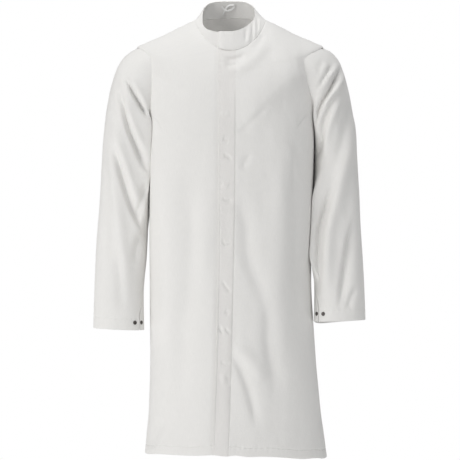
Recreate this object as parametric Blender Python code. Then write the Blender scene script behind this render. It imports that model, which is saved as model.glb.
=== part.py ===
"""Work coat with a stand collar and a covered front, open and hollow as it is worn.

The origin lies midway between the sides of the neck, 6 mm above the neck seam at the shoulders, where
the wearer's shoulders carry the coat. +X is the wearer's left, -Y the front and +Z up. Every panel is
a wall of cloth around a grid of points; panels stop a seam's gap short of each other.
"""

from collections import namedtuple
import math

import bmesh
import bpy
import numpy as np

MM = 0.001

CLOTH = 1.4 * MM
PLACKET_CLOTH = 2.4 * MM
COLLAR_CLOTH = 2.2 * MM
TAPE_CLOTH = 1.0 * MM
# Between the middles of two walls: along one surface, and where one wall turns away from the other.
SEAM_GAP = 0.3 * MM
TURNED_SEAM_GAP = 1.8 * MM
# How deep the right front lies under the covered front, and the way over which it sinks there.
LAP_DROP = 2.8 * MM
LAP_EASE = 26 * MM
# Half the depth of the body and half the width of a sleeve, which turn a gap at a seam into an angle.
SIDE_REACH = 125 * MM
SLEEVE_REACH = 50 * MM

# Columns: rise is the way from the hem up the side and along the shoulder, left and right are the
# half widths on the wearer's sides, then the depth and height at side, front and back. The squares are
# the powers of the rounded outline sideways and in depth (2 is an ellipse), and fall is the power by
# which its height goes from side to front and back. Millimetres.
Ring = namedtuple(
    "Ring", "rise left right side_y side_z front_y front_z back_y back_z square_x square_y fall"
)
TORSO_RINGS = (
    Ring(0, 231, 205, 0, -1046, -130, -1034, 126, -1041, 2.15, 2.15, 2),
    Ring(51, 224, 200, 0, -994, -129, -984, 122, -990, 2.15, 2.15, 2),
    Ring(109, 216, 195, 0, -936, -128, -931, 117, -934, 2.2, 2.2, 2),
    Ring(239, 203, 192, 0, -806, -127, -806, 107, -806, 2.2, 2.2, 2),
    Ring(426, 193, 193, 0, -619, -126, -619, 97, -619, 2.25, 2.25, 2),
    Ring(512, 194, 193, 1, -533, -127, -533, 97, -533, 2.3, 2.35, 2),
    Ring(645, 197, 193, 3, -400, -130, -400, 104, -400, 2.35, 2.5, 2),
    Ring(745, 199, 194, 5, -300, -132, -300, 113, -300, 2.4, 2.65, 2),
    Ring(788, 200, 196, 6, -257, -131, -257, 115, -255, 2.4, 2.75, 2),
    Ring(840, 206, 203, 6, -205, -129, -221, 115, -205, 2.35, 2.9, 2),
    Ring(895, 211, 210, 5, -150, -125, -184, 115, -154, 2.3, 3, 2),
    Ring(940, 216, 216, 4, -105, -119, -155, 113, -114, 2.1, 2.85, 1.95),
    Ring(973, 222, 223, 4, -72, -115, -136, 109, -84, 1.55, 2.6, 1.65),
    Ring(993, 204, 205, 3, -62, -111, -128, 106, -66, 1.75, 2.45, 1.8),
    Ring(1042, 160, 160, 1, -43, -105, -114, 98, -36, 1.95, 2.3, 1.95),
    Ring(1088, 119, 119, -1, -22, -98.3, -101, 88, -11, 2.1, 2.15, 1.75),
    Ring(1128, 84, 85, -4, -6, -91, -88, 76, 9, 2.1, 2.1, 1.45),
)
ARMPIT_RISE, SHOULDER_RISE, NECK_RISE = 788, 973, 1128
# How many rings come up to the shoulder.
RINGS_TO_SHOULDER = 13
# The hem falls towards the wearer's left by this slope, which dies out at the given rise.
HEM_TILT = 0.026
HEM_TILT_RISE = 250

# The collar's top edge: its height goes evenly with its depth and rises to the wearer's left by COLLAR_TILT.
# Its front on the wearer's left is cut off flatter, with a rounded outline's power of its own.
COLLAR_TOP = Ring(0, 58.5, 67, -5, 1, -77, -46, 64, 48.5, 2.5, 2.5, 0.8)
COLLAR_LEFT_FRONT_SQUARE = 1.55
COLLAR_TILT = 0.10
COLLAR_HEIGHT = 42 * MM
# The collar's right end sinks under its left end between these turns before its end, in radians.
COLLAR_LAP_START, COLLAR_LAP_END = 0.75, 0.36
COLLAR_LAP_DROP = 3.0 * MM

# Angle in degrees from the side of the body to the armhole's seam, at each rise.
Armhole = namedtuple("Armhole", "rise left_front right_front back")
ARMHOLE_ROWS = (
    Armhole(788, 0, 0, 0),
    Armhole(805, 14, 16, 9),
    Armhole(840, 23, 24, 20),
    Armhole(895, 33, 30, 29),
    Armhole(940, 37, 31, 32),
    Armhole(957, 35, 29, 29),
    Armhole(966, 26, 21, 20),
    Armhole(973, 0, 0, 0),
)

# Sideways place of the covered front's edge and of its inner stitch line, at each rise.
Front = namedtuple("Front", "rise edge stitch")
FRONT_ROWS = (
    Front(0, -42, -5),
    Front(150, -37, 0),
    Front(300, -32, 4),
    Front(700, -28, 11),
    Front(1128, -28, 12),
)
# Columns of the right front that follow its way under the covered front, from that front's edge.
UNDERLAP_COLUMNS = (-26, -17, -9, -2, 14, 32)

# Below its top a side vent opens by VENT_OPENING, and there the back's edges stand VENT_STEP further out;
# the step grows from VENT_STEP_START to VENT_STEP_END sideways.
VENT_TOP_RISE = 145
VENT_OPENING = 9 * MM
VENT_STEP = 4 * MM
VENT_STEP_START, VENT_STEP_END = 150 * MM, 205 * MM

# Each ring of a sleeve: its outer and inner point in front view, the depth of its middle, half its
# depth, how far its rear inner side tucks in behind the body, how closely its front inner side presses
# on the body (1 is PRESS_CLEAR from it), and how much lower its back hangs. The first ring lies on the
# armhole, and the armhole's own outline fades out by RING_FADE rings.
Cuffward = namedtuple("Cuffward", "outer_x outer_z inner_x inner_z mid_y half_depth tuck press back_drop")
SLEEVE_LEFT_RINGS = (
    Cuffward(223, -72, 202, -257, 2, 79, 0, 0, 0),
    Cuffward(242, -83, 203, -263, 0, 82, 4, 0.8, 0),
    Cuffward(257, -101, 203, -270, -1, 83, 8, 0.8, 0),
    Cuffward(269, -130, 203, -281, -1, 83, 12, 0.7, 0),
    Cuffward(285, -187, 202.5, -303, 1, 80, 16, 0.6, 0),
    Cuffward(295, -245, 202, -334, 4, 76, 16, 0.45, 0),
    Cuffward(302, -307, 202, -372, 6, 71, 16, 0.4, 0),
    Cuffward(308, -418, 201, -452, 7, 62, 15, 0.6, 0),
    Cuffward(314, -547, 199, -560, -6, 52, 8, 0.8, 0),
    Cuffward(319, -653, 201, -660, -22, 45, 0, 0, 4),
    Cuffward(321, -722, 199, -726, -33, 42, 0, 0, 9),
)
SLEEVE_RIGHT_RINGS = (
    Cuffward(224, -72, 198, -257, 2, 79, 0, 0, 0),
    Cuffward(241, -83, 199, -263, 0, 82, 4, 0.8, 0),
    Cuffward(260, -101, 199, -270, -1, 83, 8, 0.9, 0),
    Cuffward(275, -130, 198.5, -281, -1, 83, 12, 1, 0),
    Cuffward(291, -187, 198, -303, 1, 80, 16, 1, 0),
    Cuffward(300, -245, 197.5, -334, 4, 76, 16, 1, 0),
    Cuffward(306, -307, 197, -372, 7, 71, 16, 1, 0),
    Cuffward(313, -418, 196.5, -452, 7, 63, 14, 0.9, 0),
    Cuffward(321, -547, 199, -560, -4, 54, 4, 0, 0),
    Cuffward(325, -653, 208, -660, -18, 47, 0, 0, 0),
    Cuffward(327, -742, 206.5, -747, -28, 43, 0, 0, 2),
)
PRESS_CLEAR = 3.4
# The body's height at its front corners, as a share of the way from its side's to its front's.
CORNER_FALL = 0.17
RING_FADE = 3.0
# At the armhole a sleeve bends down over its outer side, and needs more room at its inner side.
ARMHOLE_SAMPLES, ARMHOLE_CURVE_POINTS = 400, 181
INNER_EXTRA_GAP = 0.6
# A sleeve's seam turns from its inner side to this angle at the cuff, in degrees from the outer side.
SEAM_ANGLE_CUFF = 162
# The slit over the cuff: its height and, below SLIT_FULL of that, how many degrees the front flap draws
# back and the back flap runs on past the seam's line. The back flap tucks in by SLIT_TUCK over the last
# SLIT_TUCK_REACH of the sleeve's way round.
SLIT_HEIGHT = 88 * MM
SLIT_FULL = 0.3
SLIT_FRONT_OPENING = 16
SLIT_BACK_OVERRUN = 13
SLIT_TUCK = 2.5 * MM
SLIT_TUCK_REACH = 0.06

SNAP_RADIUS = 4.8 * MM
SNAP_TOP_RADIUS = 3.6 * MM
SNAP_HEIGHT = 1.8 * MM
SNAP_DOME = 0.6 * MM
SNAP_SIDES = 20
SNAP_CLEAR = 0.6 * MM
SNAP_ABOVE_HEM = 18 * MM
SNAP_FROM_EDGE = 12.5 * MM
STUD_FROM_EDGE = 5.2 * MM

LOOP_WIDTH = 5 * MM
LOOP_COLUMNS = 34
LOOP_LEAN = 0.25
# The hanger loop's way over the inside of the collar: sideways place and height in millimetres from the
# neck seam, and its distance from the collar's inner face. Its second end crosses over its first.
LoopPoint = namedtuple("LoopPoint", "x up off")
LOOP_ROUTE = (
    LoopPoint(-22, 4, 2.2),
    LoopPoint(-18, 9, 2.5),
    LoopPoint(-11, 17, 2.9),
    LoopPoint(-3, 27, 3.2),
    LoopPoint(4, 32, 3.5),
    LoopPoint(10, 30, 3.8),
    LoopPoint(12, 22, 4.0),
    LoopPoint(8, 13, 4.4),
    LoopPoint(0, 10, 4.7),
    LoopPoint(-9, 16, 4.8),
    LoopPoint(-16, 24, 4.4),
    LoopPoint(-20, 29, 3.0),
)

# A fold's facing is -1 on the front and 1 on the back, its height is how far it stands out of the
# cloth (negative is a trough), its width is the reach to either side, and its path runs in front view.
Fold = namedtuple("Fold", "facing height width path")
FOLD_END_SHARE = 0.3
FOLD_BLUNTNESS = 0.15
FRONT_FOLDS = (
    Fold(-1, -6, 17, ((27, -420), (38, -509), (48, -602), (60, -680), (80, -800), (108, -900))),
    Fold(-1, -5, 20, ((134, -290), (146, -400), (150, -500), (141, -680))),
    Fold(-1, 5, 22, ((108, -700), (112, -790), (110, -900))),
    Fold(-1, -4, 18, ((3, -820), (24, -870), (52, -940))),
    Fold(-1, -5, 26, ((-100, -420), (-82, -556), (-84, -680), (-106, -780), (-110, -930))),
    Fold(-1, 4, 22, ((-150, -520), (-150, -900))),
    Fold(-1, 3, 20, ((-70, -560), (-72, -900))),
)
BACK_FOLDS = (
    Fold(1, -6, 26, ((-70, -380), (-62, -560), (-76, -760), (-90, -960))),
    Fold(1, 5, 24, ((-128, -420), (-122, -640), (-140, -900))),
    Fold(1, -6, 24, ((84, -360), (70, -520), (78, -700), (98, -940))),
    Fold(1, 5, 26, ((10, -520), (4, -700), (12, -930))),
    Fold(1, -5, 20, ((146, -430), (140, -620), (158, -860))),
)
SLEEVE_LEFT_FOLDS = (
    Fold(-1, -9, 13, ((262, -105), (232, -170), (206, -216), (198, -270))),
    Fold(-1, -7, 14, ((243, -180), (218, -248), (208, -290), (203, -350))),
    Fold(-1, 7, 17, ((277, -212), (284, -262), (272, -343), (239, -438), (226, -530), (226, -680))),
    Fold(-1, -7, 15, ((240, -405), (217, -473), (205, -545), (208, -670))),
    Fold(-1, -7, 15, ((289, -480), (272, -580), (258, -690))),
    Fold(1, -7, 17, ((284, -240), (262, -330), (220, -400))),
    Fold(1, 6, 18, ((286, -330), (262, -420), (226, -480))),
    Fold(1, -6, 18, ((290, -430), (270, -540), (240, -640))),
)
SLEEVE_RIGHT_FOLDS = (
    Fold(-1, -9, 12, ((-250, -140), (-226, -196), (-198, -246))),
    Fold(-1, -9, 14, ((-264, -180), (-250, -232), (-230, -286), (-212, -325), (-190, -372))),
    Fold(-1, 6, 15, ((-268, -290), (-240, -400), (-196, -500))),
    Fold(-1, -7, 14, ((-276, -310), (-258, -378), (-240, -440), (-204, -520))),
    Fold(-1, 4, 18, ((-285, -320), (-272, -430), (-250, -600))),
    Fold(1, -7, 17, ((-280, -230), (-262, -330), (-216, -410))),
    Fold(1, 6, 18, ((-290, -320), (-266, -430), (-222, -500))),
    Fold(1, -6, 18, ((-292, -440), (-270, -560), (-240, -650))),
)

COLUMNS_FRONT = 10
COLUMNS_UNDER = 6
COLUMNS_PLACKET = 2
COLUMNS_BACK = 16
COLUMNS_SLEEVE = 18
COLUMNS_COLLAR = 30
ROWS_COLLAR = 2
# Keeps a point's height and drops it onto the upright line through the origin.
UPRIGHT = np.array([0, 0, 1])
# Rises of the rows of a body panel, closer together where the armhole turns its corner.
BODY_RISES = np.array(
    [0, 40, 95, 145, 190, 240, 290, 340, 390, 440, 490, 540, 590, 640, 690, 740]
    + [788, 812, 840, 870, 900, 930, 948, 958, 964, 968, 971, 973, 993, 1024, 1056, 1088, 1128]
)
SLEEVE_STEPS = np.array(
    [0, 0.3, 0.65, 1, 1.5, 2, 2.6, 3.2, 3.8, 4.3, 4.8, 5.3, 5.8, 6.2, 6.6, 7, 7.35, 7.7, 8.05, 8.4]
    + [8.75, 9.15, 9.6, 10]
)


def clear_scene():
    for thing in list(bpy.data.objects):
        bpy.data.objects.remove(thing, do_unlink=True)


def make_material(name, colour, roughness, metallic=0.0):
    material = bpy.data.materials.new(name)
    material.use_nodes = True
    shader = material.node_tree.nodes["Principled BSDF"]
    shader.inputs["Base Color"].default_value = (*colour, 1)
    shader.inputs["Roughness"].default_value = roughness
    shader.inputs["Metallic"].default_value = metallic
    material.diffuse_color = (*colour, 1)
    return material


def smooth(places, values, at):
    """Cubic through the values that never overshoots.

    Each tangent is the harmonic mean of the slopes to either side, or level at a turning point.
    """
    places = np.asarray(places, float)
    values = np.asarray(values, float)
    gaps = np.diff(places)
    slopes = np.diff(values) / gaps
    tangents = np.empty(len(values))
    tangents[0] = slopes[0]
    tangents[-1] = slopes[-1]
    before = slopes[:-1]
    after = slopes[1:]
    same_way = before * after > 0
    total = np.where(same_way, before + after, 1)
    tangents[1:-1] = np.where(same_way, 2 * before * after / total, 0)
    span = np.clip(np.searchsorted(places, at, side="right") - 1, 0, len(gaps) - 1)
    width = gaps[span]
    part = (at - places[span]) / width
    square = part**2
    cube = part**3
    return (
        (2 * cube - 3 * square + 1) * values[span]
        + (cube - 2 * square + part) * width * tangents[span]
        + (3 * square - 2 * cube) * values[span + 1]
        + (cube - square) * width * tangents[span + 1]
    )


def column(rows, name):
    return [getattr(row, name) for row in rows]


def ease(value, start, end):
    """0 before start, 1 after end, and a soft S between them."""
    part = np.clip((value - start) / (end - start), 0, 1)
    return part * part * (3 - 2 * part)


def ring_point(turn, read, fall):
    """A point of a rounded outline, with turn 0 at the wearer's left and 90 degrees at the back.

    Read gives the ring's sizes by name, and fall is the power of its height's way to front and back.
    """
    across = np.cos(turn)
    along = np.sin(turn)
    half_width = np.where(across > 0, read("left"), read("right"))
    is_front = along < 0
    depth_y = np.where(is_front, read("front_y"), read("back_y"))
    depth_z = np.where(is_front, read("front_z"), read("back_z"))
    x = half_width * np.sign(across) * np.abs(across) ** (2 / read("square_x"))
    y = read("side_y") + (depth_y - read("side_y")) * np.abs(along) ** (2 / read("square_y"))
    z = read("side_z") + (depth_z - read("side_z")) * np.abs(along) ** fall
    return np.stack([x, y, z], axis=-1) * MM


def body_point(turn, rise):
    """A point of the body's smooth form at a turn round it and a rise up it."""
    def read(name):
        return smooth(column(TORSO_RINGS, "rise"), column(TORSO_RINGS, name), rise)

    point = ring_point(turn, read, read("fall"))
    point[..., 2] -= HEM_TILT * point[..., 0] * (1 - ease(rise, 0, HEM_TILT_RISE))
    return point


def collar_point(turn, lift):
    """A point of the collar: lift runs straight from the neck seam, 0, to the top edge, 1."""
    left_front = (np.cos(turn) > 0) & (np.sin(turn) < 0)
    square = np.where(left_front, COLLAR_LEFT_FRONT_SQUARE, COLLAR_TOP.square_x)

    def read(name):
        return square if name.startswith("square") else getattr(COLLAR_TOP, name)

    foot = body_point(turn, np.full(np.shape(turn), NECK_RISE))
    top = ring_point(turn, read, 2 / square)
    top[..., 2] += COLLAR_TILT * top[..., 0] * (1 - ease(np.sin(turn), 0, 0.8))
    return foot + (top - foot) * np.asarray(lift)[..., None]


def turn_at(x, rise, facing):
    """The turn at which the body's outline passes a sideways place, on the front (-1) or the back (1)."""
    rises = column(TORSO_RINGS, "rise")
    left = smooth(rises, column(TORSO_RINGS, "left"), rise)
    right = smooth(rises, column(TORSO_RINGS, "right"), rise)
    side = np.where(x > 0, left, right)
    square = smooth(rises, column(TORSO_RINGS, "square_x"), rise)
    across = np.sign(x) * np.clip(np.abs(x) / side, 0, 1) ** (square / 2)
    return facing * np.arccos(across)


def front_line(name, rise):
    """Sideways place of a named line of the covered front, in millimetres."""
    return smooth(column(FRONT_ROWS, "rise"), column(FRONT_ROWS, name), rise)


def armhole_turn(name, rise):
    """Turn from the body's side to the armhole's seam on a named panel, none above and below the armhole."""
    rises = column(ARMHOLE_ROWS, "rise")
    angle = smooth(rises, column(ARMHOLE_ROWS, name), np.clip(rise, ARMPIT_RISE, SHOULDER_RISE))
    return np.radians(angle)


def unit(vectors):
    return vectors / np.linalg.norm(vectors, axis=-1, keepdims=True)


def grid_normals(points, middle):
    """Unit normals of a grid of points, pointing away from middle, and whether they had to be turned."""
    normals = unit(np.cross(np.gradient(points, axis=1), np.gradient(points, axis=0)))
    turned = bool((normals * (points - middle)).sum() < 0)
    return (-normals if turned else normals), turned


def fold_height(points, normals, folds):
    """How far folds lift the cloth.

    Each is a bell across its path in front view, dying out at both ends and past the cloth's side.
    """
    total = np.zeros(points.shape[:2])
    flat = points[..., [0, 2]] / MM
    for fold in folds:
        path = np.array(fold.path, float)
        runs = np.diff(path, axis=0)
        lengths = np.linalg.norm(runs, axis=1)
        starts = np.concatenate([[0], np.cumsum(lengths)])
        nearest = np.full(flat.shape[:2], np.inf)
        along = np.zeros(flat.shape[:2])
        for start, run, length, before in zip(path[:-1], runs, lengths, starts):
            part = np.clip(((flat - start) @ run) / length**2, 0, 1)
            distance = np.linalg.norm(flat - start - part[..., None] * run, axis=-1)
            closer = distance < nearest
            nearest = np.where(closer, distance, nearest)
            along = np.where(closer, before + part * length, along)
        end_reach = FOLD_END_SHARE * starts[-1]
        taper = ease(np.minimum(along, starts[-1] - along), -FOLD_BLUNTNESS * end_reach, end_reach)
        facing = ease(fold.facing * normals[..., 1], 0.02, 0.4)
        total += fold.height * MM * np.exp(-((nearest / fold.width) ** 2)) * taper * facing
    return total


def add_object(name, mesh, material, sharp_degrees):
    mesh.materials.append(material)
    mesh.shade_smooth()
    mesh.set_sharp_from_angle(angle=math.radians(sharp_degrees))
    bpy.context.scene.collection.objects.link(bpy.data.objects.new(name, mesh))


def wall(name, points, normals, turned, thickness, material):
    """Closed wall of cloth, half its thickness to either side of a grid of points.

    Each cell is cut along its shorter diagonal, the same on both faces, and a strip closes each border.
    """
    rows, columns = points.shape[:2]
    count = rows * columns
    vertices = np.concatenate([
        (points + normals * thickness / 2).reshape(-1, 3),
        (points - normals * thickness / 2).reshape(-1, 3),
    ])
    index = np.arange(count).reshape(rows, columns)
    a = index[:-1, :-1]
    b = index[:-1, 1:]
    c = index[1:, 1:]
    d = index[1:, :-1]
    first_diagonal = np.linalg.norm(points[:-1, :-1] - points[1:, 1:], axis=-1)
    second_diagonal = np.linalg.norm(points[:-1, 1:] - points[1:, :-1], axis=-1)
    use_first = (first_diagonal <= second_diagonal)[..., None]
    upper_half = np.where(use_first, np.stack([a, b, c], axis=-1), np.stack([a, b, d], axis=-1))
    lower_half = np.where(use_first, np.stack([a, c, d], axis=-1), np.stack([b, c, d], axis=-1))
    outer = np.concatenate([upper_half.reshape(-1, 3), lower_half.reshape(-1, 3)])
    border = np.concatenate([index[0, :-1], index[:-1, -1], index[-1, :0:-1], index[:0:-1, 0]])
    following = np.roll(border, -1)
    rim = np.concatenate([
        np.stack([border, border + count, following + count], axis=-1),
        np.stack([border, following + count, following], axis=-1),
    ])
    faces = np.concatenate([outer, outer[:, ::-1] + count, rim])
    if turned:
        faces = faces[:, ::-1]
    mesh = bpy.data.meshes.new(name)
    mesh.from_pydata(vertices.tolist(), [], faces.tolist())
    add_object(name, mesh, material, 50)


def between(first, last, columns):
    """Even columns from one edge's turns to the other's, a row for each rise."""
    return first[:, None] + (last - first)[:, None] * np.linspace(0, 1, columns + 1)


def body_panel(name, turn, folds, material, drop=None, spread=None, thickness=CLOTH):
    """A panel of the body on a grid of turns, a row for each of the body's rises.

    Folds lift it out of the body's form, drop is how far it sinks below it, spread how far it stands out
    sideways.
    """
    rise = np.broadcast_to(BODY_RISES[:, None].astype(float), turn.shape)
    points = body_point(turn, rise)
    normals, turned = grid_normals(points, points * UPRIGHT)
    lift = fold_height(points, normals, folds)
    if drop is not None:
        lift = lift - drop(points, rise)
    points = points + normals * lift[..., None]
    if spread is not None:
        points[..., 0] += spread(points, rise)
    normals, _ = grid_normals(points, points * UPRIGHT)
    wall(name, points, normals, turned, thickness, material)


def side_turn(name, vent_opening):
    """Turn from the side to a panel's outer edge at each of the body's rises.

    It is half a seam's gap, and more at the armhole and below the vent's top.
    """
    inside = (BODY_RISES >= ARMPIT_RISE) & (BODY_RISES <= SHOULDER_RISE)
    armhole = np.where(inside, armhole_turn(name, BODY_RISES), 0)
    opening = vent_opening / SIDE_REACH * ease(-BODY_RISES, -VENT_TOP_RISE, 0)
    return armhole + opening + SEAM_GAP / 2 / SIDE_REACH


def underlap_drop(points, rise):
    """The right front sinks under the covered front as it comes to its edge."""
    edge = front_line("edge", rise) * MM
    return LAP_DROP * ease(points[..., 0], edge - LAP_EASE, edge - 1 * MM)


def vent_spread(points, rise):
    """Below the vents the back's edges stand out past the fronts'."""
    near_side = ease(np.abs(points[..., 0]), VENT_STEP_START, VENT_STEP_END)
    below = 1 - ease(rise, 0, VENT_TOP_RISE)
    return np.sign(points[..., 0]) * VENT_STEP * near_side * below**1.5


def make_fronts(cloth):
    stitch = front_line("stitch", BODY_RISES)
    seam_turn = turn_at(stitch + SEAM_GAP / MM, BODY_RISES, -1)
    left_side = -side_turn("left_front", VENT_OPENING)
    body_panel("front_left", between(seam_turn, left_side, COLUMNS_FRONT), FRONT_FOLDS, cloth)
    right_side = -math.pi + side_turn("right_front", VENT_OPENING)
    edge = front_line("edge", BODY_RISES)
    lap_turns = [turn_at(edge + offset, BODY_RISES, -1) for offset in UNDERLAP_COLUMNS]
    free_part = between(right_side, lap_turns[0], COLUMNS_UNDER)
    turn = np.concatenate([free_part, np.stack(lap_turns[1:], axis=1)], axis=1)
    body_panel("front_right", turn, FRONT_FOLDS, cloth, drop=underlap_drop)


def make_placket(cloth):
    """The covered front's band, from its edge to the seam that joins it to the left front."""
    first = turn_at(front_line("edge", BODY_RISES), BODY_RISES, -1)
    last = turn_at(front_line("stitch", BODY_RISES), BODY_RISES, -1)
    turn = between(first, last, COLUMNS_PLACKET)
    body_panel("placket", turn, FRONT_FOLDS, cloth, thickness=PLACKET_CLOTH)


def make_back(cloth):
    edge = side_turn("back", 0)
    turn = between(edge, math.pi - edge, COLUMNS_BACK)
    body_panel("back", turn, BACK_FOLDS, cloth, spread=vent_spread)


def armhole_line(side, name, facing):
    """One half of the armhole's seam, from the shoulder point down to the armpit, in even steps."""
    rises = np.linspace(SHOULDER_RISE, ARMPIT_RISE, ARMHOLE_SAMPLES)
    turn = facing * armhole_turn(name, rises)
    if side < 0:
        turn = math.pi - turn
    line = body_point(turn, rises)
    way = np.concatenate([[0], np.cumsum(np.linalg.norm(np.diff(line, axis=0), axis=1))])
    steps = np.linspace(0, way[-1], ARMHOLE_CURVE_POINTS)
    return np.stack([np.interp(steps, way, line[:, axis]) for axis in range(3)], axis=-1)


def armhole_point(side, front_name, angle):
    """A point beside the armhole's seam at an angle round it, a turned seam's gap away on the sleeve's side.

    The gap turns from sideways to downwards near the shoulder, where the sleeve falls away.
    """
    across = np.cos(angle)
    degrees = np.degrees(np.arctan2(np.sin(angle), across))
    front = armhole_line(side, front_name, -1)
    back = armhole_line(side, "back", 1)
    loop = np.concatenate([back[:0:-1], front])
    places = np.linspace(-180, 180, len(loop))
    point = np.stack([np.interp(degrees, places, loop[:, axis]) for axis in range(3)], axis=-1)
    down = ease(across, 0.1, 0.8)
    gap = TURNED_SEAM_GAP * (1 + INNER_EXTRA_GAP * ease(-across, 0.3, 1)) / np.sqrt(1 + down**2)
    point[..., 0] += side * gap
    point[..., 2] -= gap * down
    return point


def cuffward_point(side, read, angle):
    """A point of a sleeve's ellipse between its outer and inner points, whose sizes read gives by name."""
    across = np.cos(angle)
    x = (read("outer_x") + read("inner_x")) / 2 + across * (read("outer_x") - read("inner_x")) / 2
    y = read("mid_y") - np.sin(angle) * read("half_depth")
    z = (read("outer_z") + read("inner_z")) / 2 + across * (read("outer_z") - read("inner_z")) / 2
    x = x - read("tuck") * ease(-across, -0.2, 0.8) * ease(-np.sin(angle), 0.15, 0.65)
    z = z - read("back_drop") * ease(-np.sin(angle), -0.1, 0.9) * (0.65 - 0.35 * across)
    return np.stack([side * x, y, z], axis=-1) * MM


def body_reach(side, y, z):
    """Sideways reach of the body's front half at a depth and a height, from the rounded outline's formula."""
    rings = TORSO_RINGS[:RINGS_TO_SHOULDER]
    heights = np.array(column(rings, "side_z")) * (1 - CORNER_FALL)
    heights = heights + np.array(column(rings, "front_z")) * CORNER_FALL

    def read(name):
        return smooth(heights, column(rings, name), np.clip(z, heights[0], heights[-1]))

    depth = np.clip((y - read("side_y")) / (read("front_y") - read("side_y")), 0, 1)
    half_width = read("left") if side > 0 else read("right")
    return half_width * (1 - depth ** read("square_y")) ** (1 / read("square_x"))


def sleeve_surface(side, rings, front_name, angle, step):
    """A point of a sleeve at an angle round it and a step down it.

    The angle is 0 at the outer side, 90 degrees at the front and 180 at the inner side. Near the armhole
    the sleeve's ellipse also takes what the armhole's outline has beyond the first ring's, and its front
    inner side is pressed on the body.
    """
    def here(name):
        return smooth(np.arange(len(rings)), column(rings, name), step)

    def first(name):
        return getattr(rings[0], name)

    fade = (1 - ease(step, -0.4, RING_FADE)) / (1 - ease(0.0, -0.4, RING_FADE))
    residual = armhole_point(side, front_name, angle) - cuffward_point(side, first, angle)
    point = cuffward_point(side, here, angle) + residual * fade[..., None]
    facing_in = ease(-np.cos(angle), 0.25, 0.9) * ease(np.sin(angle), -0.1, 0.3)
    reach = body_reach(side, point[..., 1] / MM, point[..., 2] / MM)
    room = side * point[..., 0] - (reach + PRESS_CLEAR) * MM
    point[..., 0] -= side * np.maximum(room, 0) * here("press") * facing_in
    return point


def sleeve_grid(side, rings, front_name, steps, share):
    """Points and ring middles of a sleeve's sheet, from its seam's front edge round to the back edge."""
    step = np.broadcast_to(steps[:, None], (len(steps), len(share)))
    last = len(rings) - 1
    seam = 180 - (180 - SEAM_ANGLE_CUFF) * ease(step, 1, last)
    drop_z = -smooth(np.arange(len(rings)), column(rings, "outer_z"), step) * MM
    cuff_z = -rings[-1].outer_z * MM
    slit = ease(drop_z, cuff_z - SLIT_HEIGHT, cuff_z - SLIT_FULL * SLIT_HEIGHT)
    half_gap = np.degrees(SEAM_GAP / SLEEVE_REACH)
    start = seam - half_gap - SLIT_FRONT_OPENING * slit
    end = seam - 360 + half_gap - SLIT_BACK_OVERRUN * slit
    angle = np.radians(start + (end - start) * share)
    points = sleeve_surface(side, rings, front_name, angle, step)
    middle = points.mean(axis=1, keepdims=True)
    under = SLIT_TUCK * slit * ease(share, 1 - SLIT_TUCK_REACH, 1)
    points = points + unit(middle - points) * under[..., None]
    return points, middle


def make_sleeve(name, side, rings, front_name, folds, cloth):
    """A sleeve of one sheet, open at the armhole and the cuff; returns its grid for what sits on it."""
    share = np.linspace(0, 1, COLUMNS_SLEEVE + 1)
    points, middle = sleeve_grid(side, rings, front_name, SLEEVE_STEPS, share)
    normals, turned = grid_normals(points, middle)
    keep_seams = ease(SLEEVE_STEPS, 0, 1.2)[:, None]
    points = points + normals * (fold_height(points, normals, folds) * keep_seams)[..., None]
    normals, _ = grid_normals(points, middle)
    wall(name, points, normals, turned, CLOTH, cloth)
    return points, normals


def make_collar(cloth):
    """One band whose left end laps over its right end at the front."""
    edge = float(FRONT_ROWS[-1].edge)
    under = edge + UNDERLAP_COLUMNS[-1]
    first = turn_at(edge, NECK_RISE, -1)
    last = 2 * math.pi + turn_at(under, NECK_RISE, -1)
    lowest = TURNED_SEAM_GAP / COLLAR_HEIGHT
    turn, lift = np.meshgrid(
        np.linspace(first, last, COLUMNS_COLLAR + 1), np.linspace(lowest, 1, ROWS_COLLAR + 1)
    )
    points = collar_point(turn, lift)
    normals, turned = grid_normals(points, points * UPRIGHT)
    drop = COLLAR_LAP_DROP * ease(turn, last - COLLAR_LAP_START, last - COLLAR_LAP_END)
    points = points - normals * drop[..., None]
    normals, _ = grid_normals(points, points * UPRIGHT)
    wall("collar", points, normals, turned, COLLAR_CLOTH, cloth)


def make_hanger_loop(tape):
    """A tape that rises from the neck seam inside the collar, turns and comes back across itself."""
    places = np.arange(len(LOOP_ROUTE))
    at = np.linspace(0, len(LOOP_ROUTE) - 1, LOOP_COLUMNS)
    x, up, off = (smooth(places, column(LOOP_ROUTE, name), at) * MM for name in LoopPoint._fields)
    turn = turn_at(x / MM, NECK_RISE, 1)
    line = collar_point(turn, up / COLLAR_HEIGHT)
    inward = unit(np.array([0, -1, LOOP_LEAN]))
    line = line + inward * (off + COLLAR_CLOTH / 2 + TAPE_CLOTH / 2)[:, None]
    along = unit(np.gradient(line, axis=0))
    across = unit(np.cross(along, inward))
    half = np.array([-0.5, 0.5]) * LOOP_WIDTH
    points = line[:, None, :] + across[:, None, :] * half[None, :, None]
    normals = np.broadcast_to(inward, points.shape)
    facing = np.cross(points[0, 1] - points[0, 0], points[1, 0] - points[0, 0])
    wall("hanger_loop", points, normals, bool(facing @ inward < 0), TAPE_CLOTH, tape)


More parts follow.
